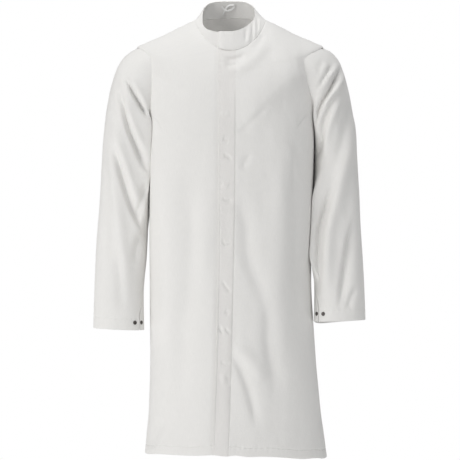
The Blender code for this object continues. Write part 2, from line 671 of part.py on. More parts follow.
def make_snap(name, place, outward, metal):
    """A shallow dome on a round disc, with its axis along outward and its base on place."""
    mesh = bmesh.new()
    profile = (
        (SNAP_RADIUS, 0),
        (SNAP_RADIUS, SNAP_HEIGHT - SNAP_DOME),
        (SNAP_TOP_RADIUS, SNAP_HEIGHT),
    )
    first = unit(np.cross(outward, [0, 0, 1]))
    second = np.cross(outward, first)
    angles = np.linspace(0, 2 * math.pi, SNAP_SIDES, endpoint=False)
    circle = np.cos(angles)[:, None] * first + np.sin(angles)[:, None] * second
    rings = []
    for radius, height in profile:
        ring = place + outward * height + radius * circle
        rings.append([mesh.verts.new(point) for point in ring])
    for lower, upper in zip(rings[:-1], rings[1:]):
        for here in range(SNAP_SIDES):
            there = (here + 1) % SNAP_SIDES
            mesh.faces.new((lower[here], lower[there], upper[there], upper[here]))
    mesh.faces.new(rings[0][::-1])
    mesh.faces.new(rings[-1])
    bmesh.ops.recalc_face_normals(mesh, faces=mesh.faces)
    data = bpy.data.meshes.new(name)
    mesh.to_mesh(data)
    mesh.free()
    add_object(name, data, metal, 30)


def sleeve_spot(points, normals, above_hem, from_edge, from_front):
    """A place on a sleeve's sheet and its outward normal, up from the cuff and in from the slit."""
    if not from_front:
        points = points[:, ::-1]
        normals = normals[:, ::-1]
    heights = points[:, 0, 2] - points[-1, 0, 2]
    row = np.interp(-above_hem, -heights, np.arange(len(heights)))
    upper = int(row)
    part = row - upper
    strip = points[upper] * (1 - part) + points[upper + 1] * part
    outward = normals[upper] * (1 - part) + normals[upper + 1] * part
    way = np.concatenate([[0], np.cumsum(np.linalg.norm(np.diff(strip, axis=0), axis=1))])
    place = np.array([np.interp(from_edge, way, strip[:, axis]) for axis in range(3)])
    facing = np.array([np.interp(from_edge, way, outward[:, axis]) for axis in range(3)])
    return place, unit(facing)


def make_snaps(name, points, normals, metal):
    """The cap sits on the slit's front flap and the stud on its back flap."""
    halves = (("cap", SNAP_FROM_EDGE, True), ("stud", STUD_FROM_EDGE, False))
    for kind, from_edge, from_front in halves:
        place, outward = sleeve_spot(points, normals, SNAP_ABOVE_HEM, from_edge, from_front)
        seat = place + outward * (CLOTH / 2 + SNAP_CLEAR)
        make_snap(f"snap_{kind}_{name}", seat, outward, metal)


def main():
    clear_scene()
    cloth = make_material("white_twill", (0.84, 0.83, 0.81), 0.85)
    tape = make_material("white_tape", (0.88, 0.88, 0.87), 0.8)
    metal = make_material("dark_snap_metal", (0.09, 0.085, 0.08), 0.35, 1.0)
    make_fronts(cloth)
    make_placket(cloth)
    make_back(cloth)
    make_collar(cloth)
    make_hanger_loop(tape)
    sleeves = (
        ("left", 1, SLEEVE_LEFT_RINGS, "left_front", SLEEVE_LEFT_FOLDS),
        ("right", -1, SLEEVE_RIGHT_RINGS, "right_front", SLEEVE_RIGHT_FOLDS),
    )
    for name, side, rings, front_name, folds in sleeves:
        points, normals = make_sleeve(f"sleeve_{name}", side, rings, front_name, folds, cloth)
        make_snaps(name, points, normals, metal)


main()
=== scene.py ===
"""Finish of a white work coat: its panels as thin draped cloth, with seams, stitches, folds and snaps.

Run as a script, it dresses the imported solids: each cloth panel becomes a fine shell on the same form,
and every length below is in millimetres unless its name or property says otherwise.
"""

from collections import namedtuple
import math

import bpy
import numpy as np
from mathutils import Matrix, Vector


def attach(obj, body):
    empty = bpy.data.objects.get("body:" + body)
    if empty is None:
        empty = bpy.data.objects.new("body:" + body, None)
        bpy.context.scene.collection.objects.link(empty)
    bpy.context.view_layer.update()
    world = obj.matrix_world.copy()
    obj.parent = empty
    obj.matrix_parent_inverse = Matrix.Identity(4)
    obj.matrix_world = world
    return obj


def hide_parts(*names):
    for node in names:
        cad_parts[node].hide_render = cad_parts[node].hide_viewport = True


bl_info = {
    "name": "Work Coat Finish",
    "version": (1, 0, 0),
    "blender": (4, 5, 0),
    "location": "3D Viewport > Sidebar > Work Coat",
    "description": "Dresses a work coat's panels as draped twill with its stitching and snaps",
    "category": "Object",
}

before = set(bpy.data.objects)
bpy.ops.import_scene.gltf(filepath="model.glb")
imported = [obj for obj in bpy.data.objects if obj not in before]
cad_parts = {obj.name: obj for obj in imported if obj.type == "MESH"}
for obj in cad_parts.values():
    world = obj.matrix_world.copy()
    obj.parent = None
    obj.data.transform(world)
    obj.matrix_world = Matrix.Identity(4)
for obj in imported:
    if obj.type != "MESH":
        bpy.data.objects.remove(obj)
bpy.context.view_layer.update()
MM = 0.001

# ---------------------------------------------------------------------------
# The coat's form, shared with its solids
# ---------------------------------------------------------------------------

# How far panels run on under their neighbours, so that no seam gapes.
SEAM_OVERLAP = 0.5
# How deep the right front sinks under the covered front's edge and over what width, and how far the
# covered front's band stands proud of the fronts.
LAP_DROP, LAP_EASE = 1.2, 9
PLACKET_PROUD = 0.9
# Half the depth of the body and half the width of a sleeve, which turn a gap at a seam into an angle.
SIDE_REACH = 125
SLEEVE_REACH = 50

# Rise is the way from the hem up the side and along the shoulder, left and right are the half widths on
# the wearer's sides, then the depth and height at side, front and back. The squares are the powers of
# the rounded outline sideways and in depth, and fall is the power by which its height goes from side to
# front and back.
Ring = namedtuple(
    "Ring", "rise left right side_y side_z front_y front_z back_y back_z square_x square_y fall"
)
TORSO_RINGS = (
    Ring(0, 231, 205, 0, -1046, -130, -1034, 126, -1041, 2.15, 2.15, 2),
    Ring(51, 224, 200, 0, -994, -129, -984, 122, -990, 2.15, 2.15, 2),
    Ring(109, 216, 195, 0, -936, -128, -931, 117, -934, 2.2, 2.2, 2),
    Ring(239, 203, 192, 0, -806, -127, -806, 107, -806, 2.2, 2.2, 2),
    Ring(426, 193, 193, 0, -619, -126, -619, 97, -619, 2.35, 2.4, 2),
    Ring(512, 194, 193, 1, -533, -127, -533, 97, -533, 2.45, 2.7, 2),
    Ring(645, 197, 193, 3, -400, -130, -400, 104, -400, 2.5, 3, 2),
    Ring(745, 199, 194, 5, -300, -132, -300, 113, -300, 2.55, 3.15, 2),
    Ring(788, 200, 196, 6, -257, -131, -257, 115, -255, 2.55, 3.2, 2),
    Ring(840, 206, 203, 6, -205, -129, -221, 115, -205, 2.45, 3.15, 2),
    Ring(895, 211, 210, 5, -150, -125, -184, 115, -154, 2.3, 3.05, 2),
    Ring(940, 216, 216, 4, -105, -120, -157, 113, -114, 2.05, 2.8, 1.9),
    Ring(973, 222, 223, 4, -72, -115, -139, 109, -84, 1.7, 2.6, 1.72),
    Ring(993, 204, 205, 3, -62, -111.5, -130, 106, -66, 1.82, 2.48, 1.84),
    Ring(1042, 160, 160, 1, -43, -105, -115, 98, -36, 1.95, 2.3, 1.9),
    Ring(1088, 119, 119, -1, -22, -98.3, -101, 88, -11, 2.1, 2.15, 1.75),
    Ring(1128, 84, 85, -4, -6, -91, -88, 76, 9, 2.1, 2.1, 1.45),
)
ARMPIT_RISE, SHOULDER_RISE, NECK_RISE = 788, 973, 1128
RINGS_TO_SHOULDER = 13
# The hem's fall for each unit sideways and its waves' height, each with the rise at which it has died
# out, and the reaches and the swing of the waves.
HEM_TILT, HEM_TILT_RISE = 0.026, 250
HEM_WAVE, HEM_WAVE_RISE = 1.1, 40
HEM_WAVE_SHORT, HEM_WAVE_LONG, HEM_WAVE_SWING = 13, 37, 1.7

# The collar's top edge, as a ring of the same kind.
COLLAR_TOP = Ring(0, 58.5, 67, -5, 1, -77, -42.5, 64, 48.5, 3.5, 3.5, 0.8)
# Its front on the wearer's left is rounder, and rises higher by this slope.
COLLAR_LEFT_FRONT_SQUARE = 1.75
COLLAR_TILT = 0.07
COLLAR_HEIGHT = 42
# Where its right end sinks under its left one, in radians from that end, and how deep.
COLLAR_LAP_START, COLLAR_LAP_END = 0.75, 0.36
COLLAR_LAP_DROP = 3.0

# Angle in degrees from the side of the body to the armhole's seam, at each rise.
Armhole = namedtuple("Armhole", "rise left_front right_front back")
ARMHOLE_ROWS = (
    Armhole(788, 0, 0, 0),
    Armhole(805, 14, 16, 9),
    Armhole(840, 23, 24, 20),
    Armhole(895, 33, 30, 29),
    Armhole(945, 37, 31, 32),
    Armhole(960, 36, 30, 30),
    Armhole(968, 32, 26, 25),
    Armhole(971.5, 24, 20, 19),
    Armhole(972.6, 14, 11, 10),
    Armhole(973, 0, 0, 0),
)

# Sideways place of the covered front's edge and of its inner stitch line, at each rise.
Front = namedtuple("Front", "rise edge stitch")
FRONT_ROWS = (
    Front(0, -42, -5),
    Front(150, -37, 0),
    Front(300, -32, 4),
    Front(700, -28, 11),
    Front(1128, -28, 12),
)
# How far the right front and the collar's right end run on past the covered front's edge.
UNDERLAP_REACH = 32
# Rises over which the covered front's inner seam goes flat.
FLAT_CHEST = (860, 920)

# Each vent opens from its top rise down to its full one, where the front's edge is drawn back by its
# opening. Under the left one the back's flange runs on past the side, sinking in over a turn in radians.
VENT_TOP_RISE, VENT_FULL_RISE = 150, 70
VENT_OPENING_LEFT, VENT_OPENING_RIGHT = 36, 2
VENT_FLANGE = 46
VENT_TUCK, VENT_TUCK_TURN = 3, 0.12

# Each ring of a sleeve: its outer and inner point in front view, the depth of its middle, half its
# depth, how far its rear inner side tucks in behind the body, how closely its front inner side presses
# on the body and how squarely it fills out there, and how much lower its back hangs. The first ring
# lies on the armhole.
Cuffward = namedtuple(
    "Cuffward", "outer_x outer_z inner_x inner_z mid_y half_depth tuck press square back_drop"
)
SLEEVE_LEFT_RINGS = (
    Cuffward(223, -72, 202, -257, 2, 79, 0, 0, 0, 0),
    Cuffward(242, -83, 203, -263, 0, 82, 4, 0.5, 0, 0),
    Cuffward(257, -101, 203, -270, -1, 83, 8, 0.7, 0.1, 0),
    Cuffward(269, -130, 203, -281, -1, 83, 12, 0.6, 0.25, 0),
    Cuffward(285, -187, 202.5, -303, 1, 80, 16, 0.3, 0.2, 0),
    Cuffward(295, -245, 202, -334, 4, 76, 16, 0.05, 0.1, 0),
    Cuffward(302, -307, 202, -372, 6, 71, 16, 0.2, 0.1, 0),
    Cuffward(308, -418, 201, -452, 7, 62, 15, 1, 0.5, 0),
    Cuffward(314, -547, 199, -560, -6, 52, 8, 1, 0.5, 0),
    Cuffward(319, -653, 201, -660, -22, 45, 0, 0, 0, 4),
    Cuffward(321, -722, 199, -726, -33, 42, 0, 0, 0, 9),
)
SLEEVE_RIGHT_RINGS = (
    Cuffward(224, -72, 198, -257, 2, 79, 0, 0, 0, 0),
    Cuffward(241, -83, 199, -263, 0, 82, 4, 0.5, 0, 0),
    Cuffward(260, -101, 199, -270, -1, 83, 8, 0.8, 0.1, 0),
    Cuffward(275, -130, 198.5, -281, -1, 83, 12, 1, 0.2, 0),
    Cuffward(291, -187, 198, -303, 1, 80, 16, 1, 0.3, 0),
    Cuffward(300, -245, 197.5, -334, 4, 76, 16, 1, 0.3, 0),
    Cuffward(306, -307, 197, -372, 7, 71, 16, 1, 0.3, 0),
    Cuffward(313, -418, 198, -452, 7, 63, 14, 0.6, 0.3, 0),
    Cuffward(321, -547, 201, -560, -4, 54, 4, 0, 0.2, 0),
    Cuffward(325, -653, 208, -660, -18, 47, 0, 0, 0, 0),
    Cuffward(327, -742, 206.5, -747, -28, 43, 0, 0, 0, 2),
)
# Cosines or sines round a sleeve's ring between which each of these comes in: the tuck towards the
# inner side and the back, the press towards the inner side and the front, and the back's drop, whose
# share is a mean less a slant across.
TUCK_INNER, TUCK_BACK = (-0.2, 0.8), (0.15, 0.65)
PRESS_INNER, PRESS_FRONT = (0.15, 0.65), (-0.1, 0.3)
DROP_BACK, DROP_MEAN, DROP_SLANT = (-0.1, 0.9), 0.65, 0.35
# A sleeve's least distance from the body, and the rings and the sine over which it comes in.
PRESS_CLEAR = 0.9
CLEAR_RINGS, CLEAR_FRONT = (0.3, 1.5), (-0.1, 0.1)
# The body's height at its front corners, as a share of the way from its side's to its front's.
CORNER_FALL = 0.17
# The rings over which a sleeve's form passes from the armhole's outline to its own.
ARMHOLE_FADE = (-0.4, 3.0)
ARMHOLE_SAMPLES, ARMHOLE_CURVE_POINTS = 400, 181
# Folds die out this near the armhole's seam, on the body and on the sleeve.
ARMHOLE_CALM, SLEEVE_CALM = 24, 34
# Each sleeve's seam swings from the inner side, 180 degrees, to this angle at the cuff, and opens there
# as a slit, in full from this share of its height down. The front flap draws back from the seam's line
# and the back flap runs on past it, in degrees, tucked in over a share of the way round.
SEAM_ANGLE_CUFF = 162
SLIT_HEIGHT, SLIT_FULL = 88, 0.3
SLIT_FRONT_OPENING, SLIT_BACK_OVERRUN = 16, 8
SLIT_TUCK, SLIT_TUCK_REACH = 2.5, 0.06

SNAP_ABOVE_HEM = 18
SNAP_FROM_EDGE, STUD_FROM_EDGE = 12.5, 5.2
SNAP_SIDES = 48

# The hanger loop's way over the inside of the collar: sideways place, height above the neck seam, and
# distance from the collar's inner face. Its second end crosses over its first.
LoopPoint = namedtuple("LoopPoint", "x up off")
LOOP_ROUTE = (
    LoopPoint(-18, 4, 2.2),
    LoopPoint(-15, 10, 2.5),
    LoopPoint(-10, 18, 2.8),
    LoopPoint(-4, 26, 3.0),
    LoopPoint(1, 31, 3.3),
    LoopPoint(4, 30, 3.6),
    LoopPoint(4.5, 25, 3.9),
    LoopPoint(1, 19, 4.3),
    LoopPoint(-4, 16, 4.6),
    LoopPoint(-10, 18, 4.7),
    LoopPoint(-14, 23, 4.3),
    LoopPoint(-16, 28, 3.0),
)
# The tape faces forward and this much up, and is cupped across by this height.
LOOP_LEAN, LOOP_CUP = 0.25, 0.25
LOOP_SAMPLES, LOOP_COLUMNS = 160, 11

# ---------------------------------------------------------------------------
# Folds
# ---------------------------------------------------------------------------

# A fold is a bell across a path that runs down the panel in front view. Its height is how far it stands
# out of the cloth, or sinks where it is negative; left and right are how far it reaches towards the
# wearer's left and right, so a narrow reach on one side makes a steep crease.
Fold = namedtuple("Fold", "height left right path")
FRONT_FOLDS = (
    # from the wearer's right: the drape over each side of the belly, then the long folds to the hem
    Fold(4, 22, 20, ((-171, -290), (-167, -439), (-160, -520))),
    Fold(-6.5, 26, 24, ((-94, -330), (-90, -556), (-99, -672), (-111, -742), (-111, -925))),
    Fold(4.5, 24, 20, ((-140, -300), (-147, -520), (-147, -742), (-150, -925))),
    Fold(3, 24, 24, ((-60, -400), (-60, -520), (-62, -640))),
    Fold(-4, 9, 20, ((-160, -950), (-172, -985), (-190, -1030))),
    Fold(-3.5, 24, 11, ((-190, -128), (-169, -147), (-139, -169), (-99, -206))),
    Fold(-6.5, 18, 17, ((20, -410), (36, -500), (38, -556), (50, -602), (69, -644), (85, -695))),
    Fold(-7, 22, 15, ((78, -660), (88, -700), (88, -768), (97, -824), (110, -900))),
    Fold(5, 18, 14, ((3, -772), (36, -800), (59, -828), (80, -862))),
    Fold(-7, 14, 9, ((2, -795), (22, -830), (38, -872), (52, -917), (62, -970))),
    Fold(5, 28, 28, ((122, -280), (122, -420), (116, -600), (114, -700), (113, -850))),
    Fold(-5, 28, 24, ((158, -300), (156, -420), (158, -560), (162, -672), (158, -800))),
    Fold(-4, 16, 10, ((139, -290), (150, -330), (151, -420))),
    Fold(3.5, 12, 14, ((138, -300), (150, -345), (158, -400))),
    Fold(10, 30, 62, ((196, -116), (150, -142), (106, -176), (60, -222), (20, -271))),
    Fold(-3, 10, 7, ((88, -218), (60, -246), (30, -276), (10, -292))),
    Fold(-2.4, 8, 6, ((48, -330), (34, -350), (24, -372))),
    Fold(-3.6, 7, 12, ((-16, -108), (4, -110), (24, -104), (38, -96))),
    Fold(-2.2, 5, 7, ((-14, -124), (4, -125), (24, -121))),
    Fold(3.2, 12, 14, ((-8, -136), (34, -128), (66, -100), (84, -66))),
    Fold(-2, 9, 9, ((52, -86), (70, -64), (80, -40))),
    Fold(-1.8, 1.8, 2.2, ((196, -221), (174, -248), (152, -275))),
    Fold(-1.6, 2.0, 1.8, ((-187, -234), (-171, -255), (-156, -277))),
    Fold(4.5, 9, 42, ((-36, -560), (-38, -742), (-42, -900), (-48, -1045))),
    Fold(-2.4, 17, 8, ((9, -640), (3, -800), (-1, -1000))),
)
# The covered end's lift past its edge, then the upright creases on the wearer's left.
COLLAR_FOLDS = (
    Fold(3, 38, 5, ((-22, -28), (-22, -104))),
    Fold(-1.7, 3.5, 4, ((37, -30), (36, -48), (35, -68))),
    Fold(1.5, 4, 4, ((46, -26), (44, -48), (41, -72))),
    Fold(-1.7, 3, 3, ((53, -10), (52, -40), (51, -72))),
    Fold(1.6, 3, 3, ((58, -6), (57, -34), (56, -62))),
    Fold(-1.4, 3, 3, ((63, 6), (64, -16), (65, -40))),
    Fold(1.2, 3, 3, ((70, -4), (68, -24), (67, -44))),
)
# Where the hidden closures draw the covered front's band in, each a little differently.
PLACKET_PULL = 1.3
PLACKET_FOLDS = (
    Fold(1.3, 6, 6, ((-24, -236), (-13, -243), (0, -239))),
    Fold(-1.6, 6, 6, ((-18, -295), (-11, -300), (-3, -303))),
    Fold(-2.2, 3.5, 4.5, ((-17, -334), (-7, -338), (3, -347))),
    Fold(1.2, 8, 8, ((-20, -402), (-12, -405), (-4, -408))),
    Fold(-1.6, 4, 5, ((-22, -435), (-9, -440), (5, -436))),
    Fold(-1.9, 4, 5, ((-22, -533), (-12, -541), (3, -537))),
    Fold(-1.9, 3.5, 4.5, ((-21, -626), (-11, -640), (0, -655))),
    Fold(-1.5, 6, 6, ((-14, -696), (-8, -700), (-2, -704))),
    Fold(-2.6, 3.5, 4.5, ((-29, -729), (-22, -741), (-16, -751))),
    Fold(-2.2, 3.5, 4, ((-13, -736), (-7, -744), (0, -753))),
    Fold(-1.7, 4, 5, ((-25, -815), (-11, -821), (1, -817))),
    Fold(1.5, 7, 7, ((-20, -840), (-16, -853), (-12, -866))),
    Fold(-1.5, 6, 6, ((-9, -846), (-6, -860), (-4, -873))),
)
# The back's long soft folds, and the pulls from both armholes.
BACK_FOLDS = (
    Fold(-6, 24, 26, ((-70, -380), (-62, -560), (-76, -760), (-90, -960))),
    Fold(5, 24, 20, ((-128, -420), (-122, -640), (-140, -900))),
    Fold(-6, 24, 20, ((84, -360), (70, -520), (78, -700), (98, -940))),
    Fold(5, 26, 26, ((10, -520), (4, -700), (12, -930))),
    Fold(-5, 16, 20, ((146, -430), (140, -620), (158, -860))),
    Fold(-4, 30, 12, ((-196, -140), (-150, -190), (-96, -240))),
    Fold(-4, 12, 30, ((196, -140), (150, -190), (96, -240))),
    Fold(3, 16, 16, ((-34, -640), (-40, -820), (-48, -1000))),
)
# Each sleeve's folds on its front side, from the shoulder to the cuff, and fewer on its back side.
SLEEVE_LEFT_FOLDS = (
    Fold(7, 9, 8, ((225, -108), (212, -135), (194, -166))),
    Fold(-8, 7, 4, ((217, -104), (208, -136), (193, -164))),
    Fold(-8, 8, 4.5, ((246, -114), (217, -158), (198, -188))),
    Fold(8, 8, 8, ((256, -112), (227, -152), (199, -196))),
    Fold(-14, 7, 4, ((262, -118), (252, -148), (236, -176), (217, -202), (203, -228), (197, -270))),
    Fold(6, 9, 6, ((270, -134), (250, -176), (229, -207), (211, -236))),
    Fold(-9, 11, 6, ((254, -176), (235, -213), (220, -250), (212, -295), (208, -345))),
    Fold(6, 10, 8, ((264, -190), (244, -228), (228, -270), (221, -335))),
    Fold(-4, 10, 12, ((290, -200), (276, -250), (262, -310), (250, -350))),
    Fold(12, 17, 15, ((279, -190), (284, -260), (279, -319), (267, -366), (251, -426), (239, -473),
                      (229, -521), (226, -580), (226, -690))),
    Fold(-15, 15, 6, ((243, -395), (224, -452), (209, -505), (205, -575), (208, -660))),
    Fold(-12, 15, 8, ((296, -470), (282, -535), (270, -604), (261, -663), (256, -700))),
    Fold(5, 12, 14, ((294, -360), (296, -470), (292, -560))),
    Fold(-4, 8, 7, ((300, -640), (286, -668), (276, -700))),
)
SLEEVE_RIGHT_FOLDS = (
    Fold(-14, 9, 4, ((-250, -150), (-234, -180), (-218, -206), (-194, -246))),
    Fold(6, 10, 8, ((-238, -140), (-214, -180), (-196, -214))),
    Fold(5.5, 9, 9, ((-252, -196), (-238, -240), (-216, -292), (-202, -320))),
    Fold(-14, 12, 5, ((-270, -170), (-258, -217), (-239, -276), (-220, -322), (-207, -352), (-192, -376))),
    Fold(8, 12, 11, ((-280, -230), (-266, -300), (-246, -366), (-228, -420), (-200, -470))),
    Fold(-12, 13, 6, ((-280, -300), (-264, -362), (-245, -426), (-230, -468), (-210, -505), (-196, -530))),
    Fold(6, 14, 12, ((-291, -302), (-277, -378), (-265, -485), (-253, -568), (-246, -660))),
    Fold(-4, 10, 10, ((-302, -300), (-293, -390), (-284, -520), (-284, -600))),
    Fold(-8, 12, 6, ((-198, -392), (-212, -440), (-222, -480))),
    Fold(-6, 9, 10, ((-205, -505), (-219, -545), (-226, -590))),
    Fold(-4, 11, 12, ((-267, -560), (-260, -640), (-258, -700))),
)
SLEEVE_LEFT_BACK_FOLDS = (
    Fold(-9, 9, 13, ((280, -220), (262, -320), (222, -400))),
    Fold(6, 14, 14, ((288, -320), (262, -410), (226, -470))),
    Fold(-7, 12, 14, ((292, -420), (270, -530), (240, -630))),
    Fold(-5, 8, 10, ((262, -130), (240, -180), (210, -240))),
    Fold(4, 12, 12, ((262, -500), (246, -600), (240, -690))),
)
SLEEVE_RIGHT_BACK_FOLDS = (
    Fold(-9, 13, 9, ((-276, -210), (-262, -320), (-218, -405))),
    Fold(6, 14, 14, ((-290, -320), (-266, -420), (-224, -490))),
    Fold(-7, 14, 12, ((-292, -430), (-270, -550), (-240, -650))),
    Fold(-5, 10, 8, ((-262, -130), (-236, -184), (-208, -240))),
    Fold(4, 12, 12, ((-262, -520), (-246, -620), (-244, -710))),
)
# A fold dies out over this share of its length at each end, bluntly by another share of that, and is
# left out beyond this many times its reach. It comes in where the cloth faces it by these two shares,
# and its left and right reach pass into each other this near its path.
FOLD_END_SHARE, FOLD_BLUNTNESS = 0.3, 0.15
FOLD_REACH = 3.2
FOLD_FACING = (0.02, 0.35)
FOLD_BLEND = 2.0

# ---------------------------------------------------------------------------
# Grids
# ---------------------------------------------------------------------------

# Stretches of the body's rises with the step between rows, closer at the hem, its stitching, the
# armpit and the corner of the armhole.
Stretch = namedtuple("Stretch", "start end step")
BODY_STRETCHES = (
    Stretch(0, 3, 0.75),
    Stretch(3, 18, 3),
    Stretch(18, 24, 0.75),
    Stretch(24, 786, 3.4),
    Stretch(786, 806, 1.5),
    Stretch(806, 940, 3),
    Stretch(940, 964, 1.3),
    Stretch(964, 971, 0.5),
    Stretch(971, 973.4, 0.2),
    Stretch(973.4, 1122, 3.2),
    Stretch(1122, 1128, 0.8),
)
# Places of the close columns or rows from a panel's edge and to either side of a stitched line, and
# the least distance between two.
EDGE_PLACES = (0, 0.6, 1.3, 2.1, 3.2, 4.6)
LINE_PLACES = (-2.4, -1.5, -0.7, 0, 0.7, 1.5, 2.4)
LEAST_STEP = 0.3
# Reach in rise over which a panel's inner columns follow its edges evened out, and the share of its
# columns beside each edge that come back to it.
EVEN_REACH, EDGE_SHARE = 11, 0.3
# Widths and lengths for which the columns and rows are spaced, and their steps.
FRONT_LEFT_WIDTH, FRONT_RIGHT_WIDTH, PLACKET_WIDTH, BACK_WIDTH = 270, 250, 40, 520
SLEEVE_WIDTH, SLEEVE_LENGTH, COLLAR_WIDTH = 420, 640, 460
FRONT_STEP, PLACKET_STEP, BACK_STEP, COLLAR_STEP, COLLAR_ROW_STEP = 2.8, 0.9, 4.4, 2.2, 1.8
SLEEVE_FRONT_STEP, SLEEVE_BACK_STEP, SLEEVE_ROW_STEP = 2.1, 3.4, 2.6
COLLAR_CLOSE_ROWS = (4, 10)
# Samples with which a turn round the collar and a step down a sleeve are looked up.
TURN_SAMPLES, STEP_SAMPLES = 721, 300
UPRIGHT = np.array([0, 0, 1])

# ---------------------------------------------------------------------------
# Seams and stitches
# ---------------------------------------------------------------------------

# A line runs along one side of a panel at an inset from it, and the cloth sinks there by its depth, over
# a reach to either side; pucker is the height of the small ripples the thread draws up beside it.
Line = namedtuple("Line", "side inset depth reach pucker stitched")
PUCKER_PITCH, PUCKER_REACH = 12.5, 7.0
STITCH_LENGTH, STITCH_PITCH, STITCH_WIDTH, STITCH_HEIGHT = 2.5, 3.2, 0.55, 0.32
STITCH_END = 1.5
# The hem's upper and lower stitching above its edge, and the cuff's.
HEM_DEPTH, HEM_ROW_GAP, CUFF_DEPTH = 21, 5, 27


def smooth(places, values, at):
    """Cubic through the values that never overshoots.

    Each tangent is the harmonic mean of the slopes to either side, or level at a turning point.
    """
    places = np.asarray(places, float)
    values = np.asarray(values, float)
    gaps = np.diff(places)
    slopes = np.diff(values) / gaps
    tangents = np.empty(len(values))
    tangents[0] = slopes[0]
    tangents[-1] = slopes[-1]
    before = slopes[:-1]
    after = slopes[1:]
    same_way = before * after > 0
    total = np.where(same_way, before + after, 1)
    tangents[1:-1] = np.where(same_way, 2 * before * after / total, 0)
    span = np.clip(np.searchsorted(places, at, side="right") - 1, 0, len(gaps) - 1)
    width = gaps[span]
    part = (at - places[span]) / width
    square = part**2
    cube = part**3
    return (
        (2 * cube - 3 * square + 1) * values[span]
        + (cube - 2 * square + part) * width * tangents[span]
        + (3 * square - 2 * cube) * values[span + 1]
        + (cube - square) * width * tangents[span + 1]
    )


def column(rows, name):
    """The named value of each row of a table."""
    return [getattr(row, name) for row in rows]


def ease(value, start, end):
    """0 before start, 1 after end, and a soft S between them."""
    part = np.clip((value - start) / (end - start), 0, 1)
    return part * part * (3 - 2 * part)


def unit(vectors):
    """The vectors divided by their lengths."""
    return vectors / np.maximum(np.linalg.norm(vectors, axis=-1, keepdims=True), 1e-9)


def way_along(points, axis):
    """Distance from the first point along an axis of a grid, added up from point to point."""
    steps = np.linalg.norm(np.diff(points, axis=axis), axis=-1)
    start = np.zeros_like(np.take(steps, [0], axis=axis))
    return np.concatenate([start, np.cumsum(steps, axis=axis)], axis=axis)


def spaced(length, step, lines=()):
    """Shares from 0 to 1 of a length, a step apart, closer by both ends and beside each given line."""
    ends = np.array(EDGE_PLACES)
    inner = np.arange(ends[-1] + step, length - ends[-1] - step / 2, step)
    beside = [line + offset for line in lines for offset in LINE_PLACES]
    places = np.sort(np.concatenate([ends, length - ends, inner, beside]))
    apart = np.concatenate([[True], np.diff(places) > LEAST_STEP])
    places = places[apart]
    places[-1] = length
    return places / length


# ---------------------------------------------------------------------------
# The body's, collar's and sleeves' form
# ---------------------------------------------------------------------------


def ring_point(turn, read, fall):
    """A point of a rounded outline, with turn 0 at the wearer's left and 90 degrees at the back.

    Sideways it is the half width times the cosine's power, in depth the front's or back's depth times
    the sine's power, and its height falls with the sine from side to front and back.
    """
    across = np.cos(turn)
    along = np.sin(turn)
    half_width = np.where(across > 0, read("left"), read("right"))
    is_front = along < 0
    depth_y = np.where(is_front, read("front_y"), read("back_y"))
    depth_z = np.where(is_front, read("front_z"), read("back_z"))
    x = half_width * np.sign(across) * np.abs(across) ** (2 / read("square_x"))
    y = read("side_y") + (depth_y - read("side_y")) * np.abs(along) ** (2 / read("square_y"))
    z = read("side_z") + (depth_z - read("side_z")) * np.abs(along) ** fall
    return np.stack([x, y, z], axis=-1)


def body_point(turn, rise):
    """A point of the body's smooth form at a turn round it and a rise up it.

    It is on the rounded outline whose sizes are read between the rings at that rise. Near the hem its
    height also falls in step with its sideways place, and waves with a sine of it.
    """
    def read(name):
        return smooth(column(TORSO_RINGS, "rise"), column(TORSO_RINGS, name), rise)

    point = ring_point(turn, read, read("fall"))
    x = point[..., 0]
    wave = np.sin(x / HEM_WAVE_SHORT + HEM_WAVE_SWING * np.sin(x / HEM_WAVE_LONG))
    point[..., 2] -= HEM_TILT * x * (1 - ease(rise, 0, HEM_TILT_RISE))
    point[..., 2] += HEM_WAVE * wave * (1 - ease(rise, 0, HEM_WAVE_RISE))
    return point


def collar_point(turn, lift):
    """A point of the collar, on the straight line at its turn from the neck seam to the top edge.

    Lift is the share of that line. The top edge is a rounded outline, higher on the wearer's left.
    """
    left_front = (np.cos(turn) > 0) & (np.sin(turn) < 0)
    square = np.where(left_front, COLLAR_LEFT_FRONT_SQUARE, COLLAR_TOP.square_x)

    def read(name):
        return square if name.startswith("square") else getattr(COLLAR_TOP, name)

    foot = body_point(turn, np.full(np.shape(turn), NECK_RISE))
    top = ring_point(turn, read, 2 / square)
    top[..., 2] += COLLAR_TILT * np.maximum(top[..., 0], 0) * (1 - ease(np.sin(turn), 0, 0.8))
    return foot + (top - foot) * np.asarray(lift)[..., None]


def collar_turn(x, lifts):
    """The turn at which the collar's front passes a sideways place, at each lift up the collar."""
    turns = np.linspace(-math.pi, 0, TURN_SAMPLES)
    places = collar_point(*np.broadcast_arrays(turns, lifts[:, None]))[..., 0]
    return np.stack([np.interp(x, row, turns) for row in places])[:, None]


def turn_at(x, rise, facing):
    """The turn at which the body's outline passes a sideways place, on the front (-1) or the back (1).

    It is the angle whose cosine is the place's share of the half width, to half the outline's power.
    """
    rises = column(TORSO_RINGS, "rise")
    left = smooth(rises, column(TORSO_RINGS, "left"), rise)
    right = smooth(rises, column(TORSO_RINGS, "right"), rise)
    side = np.where(x > 0, left, right)
    square = smooth(rises, column(TORSO_RINGS, "square_x"), rise)
    across = np.sign(x) * np.clip(np.abs(x) / side, 0, 1) ** (square / 2)
    return facing * np.arccos(across)


def front_line(name, rise):
    """Sideways place of a named line of the covered front."""
    return smooth(column(FRONT_ROWS, "rise"), column(FRONT_ROWS, name), rise)


